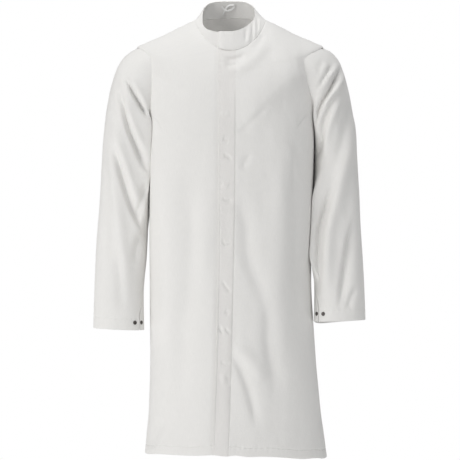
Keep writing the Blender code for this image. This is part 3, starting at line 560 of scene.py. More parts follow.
def armhole_turn(name, rise):
    """Turn from the body's side to the armhole's seam on a named panel, read between the armhole's rows."""
    rises = column(ARMHOLE_ROWS, "rise")
    angle = smooth(rises, column(ARMHOLE_ROWS, name), np.clip(rise, ARMPIT_RISE, SHOULDER_RISE))
    return np.radians(angle)


def side_turn(name, rise, vent_opening):
    """Turn from the side to a panel's outer edge, which runs on a little under its neighbour.

    It grows at the armhole, and by the vent's opening below the vent's top.
    """
    inside = (rise >= ARMPIT_RISE) & (rise <= SHOULDER_RISE)
    armhole = np.where(inside, armhole_turn(name, rise), 0)
    below = ease(-rise, -VENT_TOP_RISE, -VENT_FULL_RISE)
    opening = vent_opening / SIDE_REACH * below
    return armhole + opening - SEAM_OVERLAP / SIDE_REACH * (below == 0)


def armhole_line(side, name, facing):
    """One half of the armhole's seam, from the shoulder point down to the armpit, in even steps."""
    rises = np.linspace(SHOULDER_RISE, ARMPIT_RISE, ARMHOLE_SAMPLES)
    turn = facing * armhole_turn(name, rises)
    if side < 0:
        turn = math.pi - turn
    line = body_point(turn, rises)
    way = way_along(line, 0)
    steps = np.linspace(0, way[-1], ARMHOLE_CURVE_POINTS)
    return np.stack([np.interp(steps, way, line[:, axis]) for axis in range(3)], axis=-1)


def armhole_point(side, front_name, angle):
    """A point on the armhole's seam at an angle round it, from the back's half and the front's half."""
    degrees = np.degrees(np.arctan2(np.sin(angle), np.cos(angle)))
    front = armhole_line(side, front_name, -1)
    back = armhole_line(side, "back", 1)
    loop = np.concatenate([back[:0:-1], front])
    places = np.linspace(-180, 180, len(loop))
    point = np.stack([np.interp(degrees, places, loop[:, axis]) for axis in range(3)], axis=-1)
    point[..., 0] -= side * SEAM_OVERLAP / 2
    return point


def cuffward_point(side, read, angle):
    """A point of a sleeve's ellipse between its outer and inner points, whose sizes read gives by name.

    Across is the cosine and along the sine of the angle, each to a lower power at the front inner side,
    which squares it out. Behind, the inner side is tucked in and the back hangs lower.
    """
    across = np.cos(angle)
    along = np.sin(angle)
    inner_front = (across < 0) & (along > 0)
    power = np.where(inner_front, 1 / (1 + read("square")), 1)
    across = np.sign(across) * np.abs(across) ** power
    along = np.sign(along) * np.abs(along) ** power
    x = (read("outer_x") + read("inner_x")) / 2 + across * (read("outer_x") - read("inner_x")) / 2
    y = read("mid_y") - along * read("half_depth")
    z = (read("outer_z") + read("inner_z")) / 2 + across * (read("outer_z") - read("inner_z")) / 2
    x = x - read("tuck") * ease(-across, *TUCK_INNER) * ease(-np.sin(angle), *TUCK_BACK)
    z = z - read("back_drop") * ease(-np.sin(angle), *DROP_BACK) * (DROP_MEAN - DROP_SLANT * across)
    return np.stack([side * x, y, z], axis=-1)


def body_reach(side, y, z):
    """Sideways reach of the body's front half at a depth and a height.

    It is the half width times the outline's power of one less the same power of the depth's share.
    """
    rings = TORSO_RINGS[:RINGS_TO_SHOULDER]
    heights = np.array(column(rings, "side_z")) * (1 - CORNER_FALL)
    heights = heights + np.array(column(rings, "front_z")) * CORNER_FALL

    def read(name):
        return smooth(heights, column(rings, name), np.clip(z, heights[0], heights[-1]))

    depth = np.clip((y - read("side_y")) / (read("front_y") - read("side_y")), 0, 1)
    half_width = read("left") if side > 0 else read("right")
    return half_width * (1 - depth ** read("square_y")) ** (1 / read("square_x"))


def sleeve_surface(side, rings, front_name, angle, step):
    """A point of a sleeve at an angle round it and a step down it.

    The angle is 0 at the outer side, 90 degrees at the front and 180 at the inner side. Near the armhole
    the sleeve's ellipse also takes what the armhole's outline has beyond the first ring's. The front
    inner side is moved sideways by its share of the room to the body, and out of the body where it
    would pass into it.
    """
    def here(name):
        return smooth(np.arange(len(rings)), column(rings, name), step)

    def first(name):
        return getattr(rings[0], name)

    fade = (1 - ease(step, *ARMHOLE_FADE)) / (1 - ease(0.0, *ARMHOLE_FADE))
    residual = armhole_point(side, front_name, angle) - cuffward_point(side, first, angle)
    point = cuffward_point(side, here, angle) + residual * fade[..., None]
    facing_in = ease(-np.cos(angle), *PRESS_INNER) * ease(np.sin(angle), *PRESS_FRONT)
    room = side * point[..., 0] - body_reach(side, point[..., 1], point[..., 2]) - PRESS_CLEAR
    kept_out = np.minimum(room, 0) * ease(step, *CLEAR_RINGS) * ease(np.sin(angle), *CLEAR_FRONT)
    point[..., 0] -= side * (np.maximum(room, 0) * here("press") * facing_in + kept_out)
    return point


def sleeve_steps(rings, shares):
    """Steps down a sleeve at shares of its length, measured along the middle of its rings."""
    fine = np.linspace(0, len(rings) - 1, STEP_SAMPLES)
    names = ("outer_x", "outer_z", "inner_x", "inner_z", "mid_y")
    outer_x, outer_z, inner_x, inner_z, mid_y = (
        smooth(np.arange(len(rings)), column(rings, name), fine) for name in names
    )
    middle = np.stack([(outer_x + inner_x) / 2, mid_y, (outer_z + inner_z) / 2], axis=-1)
    way = way_along(middle, 0)
    return np.interp(shares * way[-1], way, fine)


def sleeve_form(side, rings, front_name, shares, share):
    """Points of a sleeve's sheet, from its seam's front edge round to the back edge, and ring middles.

    Each row goes round in even shares from a starting angle to an end angle, which part at the slit.
    """
    step = np.broadcast_to(sleeve_steps(rings, shares)[:, None], (len(shares), len(share)))
    last = len(rings) - 1
    seam = 180 - (180 - SEAM_ANGLE_CUFF) * ease(step, 1, last)
    drop_z = -smooth(np.arange(len(rings)), column(rings, "outer_z"), step)
    cuff_z = -rings[-1].outer_z
    slit = ease(drop_z, cuff_z - SLIT_HEIGHT, cuff_z - SLIT_FULL * SLIT_HEIGHT)
    overlap = np.degrees(SEAM_OVERLAP / 2 / SLEEVE_REACH) * (slit == 0)
    start = seam + overlap - SLIT_FRONT_OPENING * slit
    end = seam - 360 - overlap - SLIT_BACK_OVERRUN * slit
    points = sleeve_surface(side, rings, front_name, np.radians(start + (end - start) * share), step)
    middle = points.mean(axis=1, keepdims=True)
    under = SLIT_TUCK * slit * ease(share, 1 - SLIT_TUCK_REACH, 1)
    points = points + unit(middle - points) * under[..., None]
    return points, middle


# ---------------------------------------------------------------------------
# Cloth laid on the form
# ---------------------------------------------------------------------------

Cloth = namedtuple("Cloth", "points normals turned across along")


def grid_normals(points, middle):
    """Unit normals of a grid of points, pointing away from middle, and whether they had to be turned."""
    normals = unit(np.cross(np.gradient(points, axis=1), np.gradient(points, axis=0)))
    turned = bool((normals * (points - middle)).sum() < 0)
    return (-normals if turned else normals), turned


def fold_height(points, normals, folds, facing):
    """How far folds lift the cloth.

    Each is a bell of the distance from its path in front view over its reach to that side, dying out at
    both ends and where the cloth turns away from the fold's facing.
    """
    total = np.zeros(points.shape[:2])
    flat = points[..., [0, 2]]
    shown = ease(facing * normals[..., 1], *FOLD_FACING)
    for fold in folds:
        path = np.array(fold.path, float)
        reach = FOLD_REACH * max(fold.left, fold.right)
        near = ((flat > path.min(axis=0) - reach) & (flat < path.max(axis=0) + reach)).all(axis=-1)
        near &= shown > 0
        spot = flat[near]
        runs = np.diff(path, axis=0)
        lengths = np.linalg.norm(runs, axis=1)
        starts = np.concatenate([[0], np.cumsum(lengths)])
        nearest = np.full(len(spot), np.inf)
        along = np.zeros(len(spot))
        signed = np.zeros(len(spot))
        for start, run, length, before in zip(path[:-1], runs, lengths, starts):
            offset = spot - start
            part = np.clip((offset @ run) / length**2, 0, 1)
            distance = np.linalg.norm(offset - part[:, None] * run, axis=-1)
            closer = distance < nearest
            nearest = np.where(closer, distance, nearest)
            along = np.where(closer, before + part * length, along)
            signed = np.where(closer, run[0] * offset[:, 1] - run[1] * offset[:, 0], signed)
        side = ease(signed / lengths.mean(), -FOLD_BLEND, FOLD_BLEND)
        width = fold.right + (fold.left - fold.right) * side
        end_reach = FOLD_END_SHARE * starts[-1]
        taper = ease(np.minimum(along, starts[-1] - along), -FOLD_BLUNTNESS * end_reach, end_reach)
        total[near] += fold.height * np.exp(-((nearest / width) ** 2)) * taper * shown[near]
    return sizes().fold_strength * total


def ripples(points, share=1):
    """Gentle unevenness of hanging cloth: a sum of three waves that run mostly down the panel.

    Each is the product of two sines, whose reaches in millimetres divide the coordinates, shifted so
    that the three never fall in step.
    """
    x, y, z = points[..., 0], points[..., 1], points[..., 2]
    slow = np.sin(x / 17 + z / 210 + y / 31) * np.sin(z / 83 - x / 57 + 1.3)
    middle = np.sin(x / 9.3 - z / 118 + 0.7) * np.sin(z / 41 + y / 23 + x / 90)
    fine = np.sin(x / 4.9 + z / 37 + y / 11) * np.sin(z / 19 - x / 26 + 2.1)
    return share * sizes().ripple / MM * (0.55 * slow + 0.3 * middle + 0.15 * fine)


def side_distances(points):
    """Distance of each grid point from the four sides of its grid, measured along the grid."""
    across = way_along(points, 1)
    along = way_along(points, 0)
    return {
        "first_column": (across, along),
        "last_column": (across[:, -1:] - across, along),
        "first_row": (along, across),
        "last_row": (along[-1:] - along, across),
    }


def line_height(distances, lines):
    """How far seams and stitched lines draw the cloth in, and how far puckers beside them lift it.

    A line sinks by a bell of the distance from it. A pucker is a sine of the way along the line, made
    uneven by slower sines, under a wider bell.
    """
    total = 0
    for line in lines:
        away, along = distances[line.side]
        off = away - line.inset
        total = total - line.depth * np.exp(-((off / line.reach) ** 2))
        if line.pucker:
            uneven = 2.2 * np.sin(along / 61) + 1.4 * np.sin(along / 23)
            phase = 2 * math.pi * along / PUCKER_PITCH + uneven
            wave = np.sin(phase) * (0.6 + 0.4 * np.sin(along / 47 + 1))
            total = total + line.pucker * wave * np.exp(-((off / PUCKER_REACH) ** 2))
    return total


def lay_cloth(points, middle, lift, lines):
    """Cloth on a grid of points: lift, a function of points and normals, raises it, and lines sink it."""
    normals, turned = grid_normals(points, middle)
    distances = side_distances(points)
    height = lift(points, normals) + line_height(distances, lines)
    points = points + normals * height[..., None]
    normals, _ = grid_normals(points, middle)
    return Cloth(points, normals, turned, distances["first_column"][0], distances["first_row"][0])


def body_middle(points):
    """The point of the upright axis level with each point."""
    return points * UPRIGHT


# ---------------------------------------------------------------------------
# Meshes
# ---------------------------------------------------------------------------


# Degrees past which an edge of cloth, thread or metal is shaded sharp.
CLOTH_SHARP, THREAD_SHARP, METAL_SHARP = 50, 80, 60


def add_piece(name, mesh, material, sharp_degrees):
    """Links a mesh as an object of one material, smooth but for edges that turn more than an angle."""
    mesh.validate()
    mesh.materials.append(material)
    mesh.shade_smooth()
    mesh.set_sharp_from_angle(angle=math.radians(sharp_degrees))
    piece = bpy.data.objects.new(name, mesh)
    bpy.context.scene.collection.objects.link(piece)
    return piece


def fill_mesh(name, vertices, faces, material, sharp_degrees):
    """A mesh object from arrays of vertices in millimetres and of four-cornered faces."""
    mesh = bpy.data.meshes.new(name)
    mesh.vertices.add(len(vertices))
    mesh.vertices.foreach_set("co", (vertices * MM).astype(np.float32).ravel())
    mesh.loops.add(faces.size)
    mesh.loops.foreach_set("vertex_index", faces.astype(np.int32).ravel())
    mesh.polygons.add(len(faces))
    mesh.polygons.foreach_set("loop_start", np.arange(0, faces.size, faces.shape[1], dtype=np.int32))
    mesh.update(calc_edges=True)
    return add_piece(name, mesh, material, sharp_degrees)


def wall(name, cloth, thickness, material):
    """Closed shell: the cloth's grid moved half its thickness to either side, with a strip round it.

    Its map of the cloth's grain gives the distance across and along the panel, in metres.
    """
    rows, columns = cloth.points.shape[:2]
    count = rows * columns
    offset = cloth.normals * thickness / 2
    vertices = np.concatenate([cloth.points + offset, cloth.points - offset]).reshape(-1, 3)
    index = np.arange(count).reshape(rows, columns)
    corners = (index[:-1, :-1], index[:-1, 1:], index[1:, 1:], index[1:, :-1])
    outer = np.stack(corners, axis=-1).reshape(-1, 4)
    border = np.concatenate([index[0, :-1], index[:-1, -1], index[-1, :0:-1], index[:0:-1, 0]])
    following = np.roll(border, -1)
    rim = np.stack([border, border + count, following + count, following], axis=-1)
    faces = np.concatenate([outer, outer[:, ::-1] + count, rim])
    if cloth.turned:
        faces = faces[:, ::-1]
    piece = fill_mesh(name, vertices, faces, material, CLOTH_SHARP)
    grain = np.stack([cloth.across, np.broadcast_to(cloth.along, cloth.across.shape)], axis=-1)
    grain = np.tile(grain.reshape(-1, 2) * MM, (2, 1))
    used = np.empty(len(piece.data.loops), np.int32)
    piece.data.loops.foreach_get("vertex_index", used)
    layer = piece.data.uv_layers.new(name="grain")
    layer.uv.foreach_set("vector", grain[used].astype(np.float32).ravel())
    return piece


def line_on_cloth(cloth, side, inset, lift):
    """Points and normals of a line at an inset from one side of the cloth, raised by lift.

    Each is read between the two grid points whose distances from that side are just less and more.
    """
    turned_grid = side.endswith("row")
    points = cloth.points.transpose(1, 0, 2) if turned_grid else cloth.points
    normals = cloth.normals.transpose(1, 0, 2) if turned_grid else cloth.normals
    if side.startswith("last"):
        points = points[:, ::-1]
        normals = normals[:, ::-1]
    way = way_along(points, 1)
    before = np.clip((way <= inset).sum(axis=1) - 1, 0, way.shape[1] - 2)
    row = np.arange(len(way))
    part = ((inset - way[row, before]) / (way[row, before + 1] - way[row, before]))[:, None]
    place = points[row, before] * (1 - part) + points[row, before + 1] * part
    outward = unit(normals[row, before] * (1 - part) + normals[row, before + 1] * part)
    return place + outward * lift, outward


def even_line(place, outward, pitch, inset):
    """The same line at an even pitch, starting and ending an inset from its ends, with its direction."""
    way = way_along(place, 0)
    count = max(2, int((way[-1] - 2 * inset) / pitch))
    at = inset + (way[-1] - 2 * inset) * (np.arange(count) + 0.5) / count
    spot = np.stack([np.interp(at, way, place[:, axis]) for axis in range(3)], axis=-1)
    facing = unit(np.stack([np.interp(at, way, outward[:, axis]) for axis in range(3)], axis=-1))
    return spot, facing, unit(np.gradient(spot, axis=0))


# A stitch's sections by their place along it in its lengths, their size and how far out they are in its
# heights, and the corners of a section to either side and out or in.
STITCH_SECTIONS = np.array([(-0.5, 0.25, -0.9), (0, 1, 0.25), (0.5, 0.25, -0.9)])
STITCH_CORNERS = np.array([(1, 0), (0, 1), (-1, 0), (0, -1)])


def stitch_mesh(name, runs, material):
    """Stitches along lines: each is a short lozenge of thread, thick in the middle, its ends sunk in.

    Runs is a list of (points, normals), and a stitch's faces join its sections and close both ends.
    """
    place_along, size, out = STITCH_SECTIONS.T[:, None, :, None, None]
    wide, high = STITCH_CORNERS.T[:, None, None, :, None]
    vertices = []
    for place, outward in runs:
        spot, facing, way = even_line(place, outward, STITCH_PITCH, STITCH_END)
        beside = unit(np.cross(way, facing))[:, None, None, :]
        spot, facing, way = spot[:, None, None, :], facing[:, None, None, :], way[:, None, None, :]
        corner = wide * STITCH_WIDTH / 2 * beside + high * STITCH_HEIGHT / 2 * facing
        middle = spot + place_along * STITCH_LENGTH * way + out * STITCH_HEIGHT * facing
        vertices.append((middle + size * corner).reshape(-1, 3))
    vertices = np.concatenate(vertices)
    start = np.arange(0, len(vertices), STITCH_SECTIONS.shape[0] * 4)[:, None, None]
    ring = np.arange(4)
    sides = np.stack([ring, np.roll(ring, -1), np.roll(ring, -1) + 4, ring + 4], axis=-1)
    ends = np.array([[3, 2, 1, 0], [8, 9, 10, 11]])
    faces = (start + np.concatenate([sides, sides + 4, ends])).reshape(-1, 4)
    return fill_mesh(name, vertices, faces, material, THREAD_SHARP)


def turned_solid(name, profile, place, outward, segments, material):
    """A solid of revolution: the profile of radius and height turned round outward, its poles closed."""
    radius, height = np.array(profile, float).T
    first = unit(np.cross(outward, [0, 0, 1]))
    second = np.cross(outward, first)
    angle = np.linspace(0, 2 * math.pi, segments, endpoint=False)
    circle = np.cos(angle)[:, None] * first + np.sin(angle)[:, None] * second
    inner = radius[1:-1, None, None] * circle[None] + height[1:-1, None, None] * outward
    poles = np.stack([height[0] * outward, height[-1] * outward])
    vertices = place + np.concatenate([inner.reshape(-1, 3), poles])
    index = np.arange(len(inner) * segments).reshape(len(inner), segments)
    there = np.roll(index, -1, axis=1)
    sides = np.stack([index[:-1], index[1:], there[1:], there[:-1]], axis=-1).reshape(-1, 4)
    top, foot = len(vertices) - 2, len(vertices) - 1
    mesh = bpy.data.meshes.new(name)
    caps = [(int(a), int(b), top) for a, b in zip(index[0], there[0])]
    caps += [(int(b), int(a), foot) for a, b in zip(index[-1], there[-1])]
    mesh.from_pydata((vertices * MM).tolist(), [], sides.tolist() + caps)
    return add_piece(name, mesh, material, METAL_SHARP)


# ---------------------------------------------------------------------------
# Materials
# ---------------------------------------------------------------------------


def new_material(name):
    """A new node material, its tree, and its shader joined to its output."""
    material = bpy.data.materials.new(name)
    material.use_nodes = True
    tree = material.node_tree
    tree.nodes.clear()
    output = tree.nodes.new("ShaderNodeOutputMaterial")
    shader = tree.nodes.new("ShaderNodeBsdfPrincipled")
    tree.links.new(shader.outputs["BSDF"], output.inputs["Surface"])
    return material, tree, shader


def add_node(tree, kind, inputs=None, **settings):
    """A node of a kind with its settings; an input's value may be another node's output."""
    node = tree.nodes.new("ShaderNode" + kind)
    for setting, value in settings.items():
        setattr(node, setting, value)
    for socket, value in (inputs or {}).items():
        if isinstance(value, bpy.types.NodeSocket):
            tree.links.new(value, node.inputs[socket])
        else:
            node.inputs[socket].default_value = value
    return node


def noise(tree, vector, scale, detail=2.0, roughness=0.5):
    """Cloudy noise from 0 to 1 over the vector."""
    inputs = {"Vector": vector, "Scale": scale, "Detail": detail, "Roughness": roughness}
    return add_node(tree, "TexNoise", inputs).outputs["Fac"]


def bands(tree, vector, direction, **inputs):
    """Wave bands from 0 to 1 across a direction of the vector."""
    inputs["Vector"] = vector
    return add_node(tree, "TexWave", inputs, wave_type="BANDS", bands_direction=direction).outputs["Fac"]


def scaled(tree, value, factor, added):
    """A value times a factor, plus a number or another value."""
    return add_node(tree, "Math", {0: value, 1: factor, 2: added}, operation="MULTIPLY_ADD").outputs[0]


def set_colour(tree, shader, colour, tone):
    """Gives the shader a colour times a tone."""
    tint = add_node(tree, "VectorMath", {0: tuple(colour), "Scale": tone}, operation="SCALE")
    tree.links.new(tint.outputs["Vector"], shader.inputs["Base Color"])


def set_roughness(tree, shader, value, low, high):
    """Gives the shader a roughness that runs from low to high as the value does from 0 to 1."""
    rough = add_node(tree, "MapRange", {"Value": value, "To Min": low, "To Max": high})
    tree.links.new(rough.outputs["Result"], shader.inputs["Roughness"])


def raise_surface(tree, shader, *heights):
    """Raises the shader's surface by each height in turn, given with its strength and its distance."""
    under = {}
    for height, strength, distance in heights:
        inputs = {"Height": height, "Strength": strength, "Distance": distance, **under}
        under = {"Normal": add_node(tree, "Bump", inputs).outputs["Normal"]}
    tree.links.new(under["Normal"], shader.inputs["Normal"])


# A wave's bands repeat every such part of its scaled coordinate.
BAND_REPEAT = 0.314


def twill_material(name, colour, weave_pitch, crumple):
    """Woven cloth: fine diagonal ribs over crossing yarns, faint slubs and tone changes, a soft sheen."""
    material, tree, shader = new_material(name)
    grain = add_node(tree, "UVMap", uv_map="grain").outputs["UV"]
    place = add_node(tree, "TexCoord").outputs["Object"]
    rib_scale = BAND_REPEAT / weave_pitch
    rib = bands(tree, grain, "DIAGONAL", Scale=rib_scale, Distortion=0.6, Detail=1.0)
    yarn = bands(tree, grain, "X", Scale=rib_scale * 1.6, Distortion=1.2)
    slub_way = add_node(tree, "Mapping", {"Vector": grain, "Scale": (900.0, 60.0, 1.0)}).outputs["Vector"]
    slub = noise(tree, slub_way, 1.0, 3.0)
    cloudy = noise(tree, place, 7.0, 2.0)
    creased = noise(tree, place, 34.0, 3.0, 0.45)

    tone = scaled(tree, slub, 0.10, 0.95)
    shade = scaled(tree, cloudy, 0.05, 0.975)
    both = add_node(tree, "Math", {0: tone, 1: shade}, operation="MULTIPLY").outputs[0]
    set_colour(tree, shader, colour, both)
    set_roughness(tree, shader, slub, 0.78, 0.92)
    shader.inputs["Specular IOR Level"].default_value = 0.25
    shader.inputs["Sheen Weight"].default_value = 0.12
    shader.inputs["Sheen Roughness"].default_value = 0.5

    weave = scaled(tree, slub, 0.6, scaled(tree, yarn, 0.5, rib))
    raise_surface(tree, shader, (weave, 0.25, 0.00012), (creased, 1.0, crumple))
    return material


def thread_material(name, colour):
    """Sewing thread: two twisted plies as slanting bands, slightly glossier than the cloth."""
    material, tree, shader = new_material(name)
    place = add_node(tree, "TexCoord").outputs["Object"]
    ply = bands(tree, place, "DIAGONAL", Scale=700.0, Distortion=1.0)
    set_colour(tree, shader, colour, scaled(tree, ply, 0.12, 0.90))
    shader.inputs["Roughness"].default_value = 0.55
    raise_surface(tree, shader, (ply, 0.4, 0.0001))
    return material


def snap_material(name, colour):
    """Burnished dark metal: a worn, slightly cloudy gloss with fine grain."""
    material, tree, shader = new_material(name)
    place = add_node(tree, "TexCoord").outputs["Object"]
    worn = noise(tree, place, 420.0, 4.0, 0.6)
    fine = noise(tree, place, 2600.0, 2.0)
    set_colour(tree, shader, colour, scaled(tree, worn, 0.7, 0.65))
    set_roughness(tree, shader, worn, 0.24, 0.46)
    shader.inputs["Metallic"].default_value = 1.0
    raise_surface(tree, shader, (fine, 0.3, 0.00003))
    return material


def floor_material(name, colour):
    """Matt pale studio floor with a trace of unevenness, which glows with painted light that grows towards
    its rim.
    """
    material, tree, shader = new_material(name)
    place = add_node(tree, "TexCoord").outputs["Object"]
    length = add_node(tree, "VectorMath", {0: place}, operation="LENGTH").outputs["Value"]
    reach = {"Value": length, "From Min": 0.9, "From Max": 2.6}
    rim = add_node(tree, "MapRange", reach, interpolation_type="SMOOTHSTEP").outputs["Result"]
    set_colour(tree, shader, colour, scaled(tree, noise(tree, place, 3.0), 0.03, 0.985))
    # painted glow: the floor emits white light by a smooth step of its distance from the origin, from 0.9 m
    # to 2.6 m, and this also lights the coat
    tree.links.new(rim, shader.inputs["Emission Strength"])
    shader.inputs["Emission Color"].default_value = (1, 1, 1, 1)
    shader.inputs["Roughness"].default_value = 0.8
    return material


# The tape's ribs are this much coarser than the twill's.
TAPE_RIBS = 1.6


def finish_of(name):
    """The named finish, made once from the colours in the sidebar and shared by all its pieces."""
    made = bpy.data.materials.get(name)
    if made:
        return made
    colours = bpy.context.scene.coat_finish
    cut = bpy.context.scene.coat_cut
    makers = {
        "coat_twill": lambda: twill_material(name, colours.cloth, cut.weave_pitch, cut.crumple),
        # the band's twill is darker than the cloth's as painted shade
        "coat_band_twill": lambda: twill_material(name, colours.band, cut.weave_pitch, cut.crumple),
        "coat_tape": lambda: twill_material(name, colours.tape, cut.weave_pitch * TAPE_RIBS, 0.0),
        "coat_thread": lambda: thread_material(name, colours.thread),
        "coat_snap_metal": lambda: snap_material(name, colours.snap),
        "studio_floor": lambda: floor_material(name, colours.floor),
    }
    return makers[name]()


# ---------------------------------------------------------------------------
# Pieces
# ---------------------------------------------------------------------------

# The flat cut of each piece in metres, width and length, and its area in square metres.
Cut = namedtuple("Cut", "width length area")


def sizes():
    """The sizes in the sidebar, whose lengths are in metres."""
    return bpy.context.scene.coat_cut


def dress(piece, node, stitching=None):
    """Hangs a new piece and its threads on the body in place of its plain solid."""
    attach(piece, "root")
    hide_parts(node)
    if stitching:
        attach(stitching, "root")


def body_rises():
    """Rises of the rows of a body panel, from the hem to the neck."""
    parts = [np.arange(part.start, part.end - part.step / 2, part.step) for part in BODY_STRETCHES]
    return np.concatenate([*parts, [NECK_RISE]])


def evened(turns, rises):
    """Turns averaged over the rises by a bell of the distance between them."""
    spread = np.gradient(rises)
    bell = np.exp(-(((rises[:, None] - rises) / EVEN_REACH) ** 2)) * spread
    return bell @ turns / bell.sum(axis=1)


def panel_grid(first, last, rises, shares):
    """Points of a body panel between its edges' turns, a row for each rise and a column for each share.

    The inner columns follow the edges evened out, so that they don't shear where an edge turns sharply.
    """
    start, end = evened(first, rises), evened(last, rises)
    turn = start[:, None] + (end - start)[:, None] * shares
    turn = turn + (first - start)[:, None] * (1 - ease(shares, 0, EDGE_SHARE))
    turn = turn + (last - end)[:, None] * ease(shares, 1 - EDGE_SHARE, 1)
    rise = np.broadcast_to(rises[:, None], turn.shape)
    return body_point(turn, rise), rise


def hem_and_side_lines(rises, first_seam, last_seam, neck_depth=0.9, hem_lines=True):
    """Lines of a body panel: a groove down each seamed side, the neck seam, and the hem's stitching.

    The side's groove is shallower along the armhole and the shoulder.
    """
    lines = [Line("last_row", 0, neck_depth, 1.6, 0.1, False)]
    groove = (0.8 - 0.6 * ease(rises, ARMPIT_RISE, ARMPIT_RISE + 20))[:, None]
    if hem_lines:
        lines.append(Line("first_row", HEM_DEPTH, 1.0, 1.5, 0.4, True))
        lines.append(Line("first_row", HEM_DEPTH - HEM_ROW_GAP, 0.5, 1.3, 0.3, True))
        lines.append(Line("first_row", 0, 0.4, 1.2, 0, False))
    if first_seam:
        lines.append(Line("first_column", 0, groove, 1.5, 0.12, False))
    if last_seam:
        lines.append(Line("last_column", 0, groove, 1.5, 0.12, False))
    return lines


def make_panel(node, cloth, thickness, lines, finish="coat_twill"):
    """A panel's wall of a thickness in metres, and the threads of its stitched lines as one piece."""
    thickness = thickness / MM
    piece = wall(f"coat_{node}", cloth, thickness, finish_of(finish))
    runs = [line_on_cloth(cloth, line.side, line.inset, thickness / 2) for line in lines if line.stitched]
    threads = stitch_mesh(f"stitches_{node}", runs, finish_of("coat_thread"))
    dress(piece, node, threads)


def calm(points, *seams):
    """Share of its folds that cloth keeps: an S of its distance from the armholes' seams, none at them."""
    share = np.ones(points.shape[:2])
    for seam in seams:
        distance = np.linalg.norm(points[:, :, None] - seam[::4], axis=-1).min(axis=-1)
        share *= ease(distance, 0, ARMHOLE_CALM)
    return share


def front_lift(points, normals):
    """The height of the fronts' folds and ripples."""
    return fold_height(points, normals, FRONT_FOLDS, -1) + ripples(points)


def make_front_left():
    """The left front, from its seam with the covered front's band round to the side."""
    rises = body_rises()
    seam = turn_at(front_line("stitch", rises) - SEAM_OVERLAP, rises, -1)
    side = -side_turn("left_front", rises, VENT_OPENING_LEFT)
    points, _ = panel_grid(seam, side, rises, spaced(FRONT_LEFT_WIDTH, FRONT_STEP))
    lines = hem_and_side_lines(rises, True, True)
    share = calm(points, armhole_line(1, "left_front", -1))

    def lift(places, normals):
        return front_lift(places, normals) * share

    cloth = lay_cloth(points, body_middle(points), lift, lines)
    make_panel("front_left", cloth, sizes().cloth, lines)


def make_front_right():
    """The right front, from the side to its edge, which sinks softly under the covered front."""
    rises = body_rises()
    side = -math.pi + side_turn("right_front", rises, VENT_OPENING_RIGHT)
    under = turn_at(front_line("edge", rises) + UNDERLAP_REACH, rises, -1)
    points, rise = panel_grid(side, under, rises, spaced(FRONT_RIGHT_WIDTH, FRONT_STEP))
    lines = hem_and_side_lines(rises, True, False, 0.15)
    share = calm(points, armhole_line(-1, "right_front", -1))
    covered = front_line("edge", rise)

    def lift(places, normals):
        drop = LAP_DROP * ease(places[..., 0], covered - LAP_EASE, covered - 1)
        return front_lift(places, normals) * share - drop

    cloth = lay_cloth(points, body_middle(points), lift, lines)
    make_panel("front_right", cloth, sizes().cloth, lines)


# Inset of the stitching along the covered front's and the collar's edge, and along the band's seam.
EDGE_STITCH, SEAM_STITCH = 4.6, 1.6


def make_placket():
    """The covered front's band, proud of the fronts less and less towards its seam, its edge stitched."""
    rises = body_rises()
    edge = turn_at(front_line("edge", rises), rises, -1)
    seam = turn_at(front_line("stitch", rises) + SEAM_OVERLAP, rises, -1)
    shares = spaced(PLACKET_WIDTH, PLACKET_STEP, (EDGE_STITCH,))
    points, _ = panel_grid(edge, seam, rises, shares)
    # the seam lies flat at the chest and shows lower down
    flat = ease(rises, *FLAT_CHEST)[:, None]
    shown = 1 - 0.8 * flat
    proud = PLACKET_PROUD * (1 - shares * (0.4 + flat))
    lines = hem_and_side_lines(rises, False, False, 0.6, False)
    lines.append(Line("first_column", EDGE_STITCH, 0.45, 1.1, 0.25, True))
    lines.append(Line("first_column", 0, 0.3, 1.2, 0, False))
    lines.append(Line("last_column", SEAM_STITCH, 0.5 * shown, 1.0, 0.2, True))
    lines.append(Line("last_column", 0, shown, 1.3, 0, False))

    def lift(places, normals):
        pulls = PLACKET_PULL * fold_height(places, normals, PLACKET_FOLDS, -1)
        return front_lift(places, normals) + pulls + proud

    cloth = lay_cloth(points, body_middle(points), lift, lines)
    make_panel("placket", cloth, sizes().placket, lines, "coat_band_twill")


def make_back():
    """The back, from side to side, its left edge running on tucked under the left front below the vent."""
    rises = body_rises()
    edge = side_turn("back", rises, 0)
    flange = VENT_FLANGE / SIDE_REACH * ease(-rises, -VENT_TOP_RISE, -VENT_FULL_RISE)
    shares = spaced(BACK_WIDTH, BACK_STEP)
    points, _ = panel_grid(edge - flange, math.pi - edge, rises, shares)
    past_side = (flange - edge)[:, None] - (math.pi - 2 * edge + flange)[:, None] * shares
    tucked = VENT_TUCK * ease(past_side, 0, VENT_TUCK_TURN)
    lines = hem_and_side_lines(rises, True, True)
    share = calm(points, armhole_line(1, "back", 1), armhole_line(-1, "back", 1))

    def lift(places, normals):
        return (fold_height(places, normals, BACK_FOLDS, 1) + ripples(places)) * share - tucked

    cloth = lay_cloth(points, body_middle(points), lift, lines)
    make_panel("back", cloth, sizes().cloth, lines)


# Each sleeve by its name: the wearer's side, its rings, the front it joins and its folds.
Sleeve = namedtuple("Sleeve", "name side rings front_name front_folds back_folds")
SLEEVES = (
    Sleeve("left", 1, SLEEVE_LEFT_RINGS, "left_front", SLEEVE_LEFT_FOLDS, SLEEVE_LEFT_BACK_FOLDS),
    Sleeve("right", -1, SLEEVE_RIGHT_RINGS, "right_front", SLEEVE_RIGHT_FOLDS, SLEEVE_RIGHT_BACK_FOLDS),
)


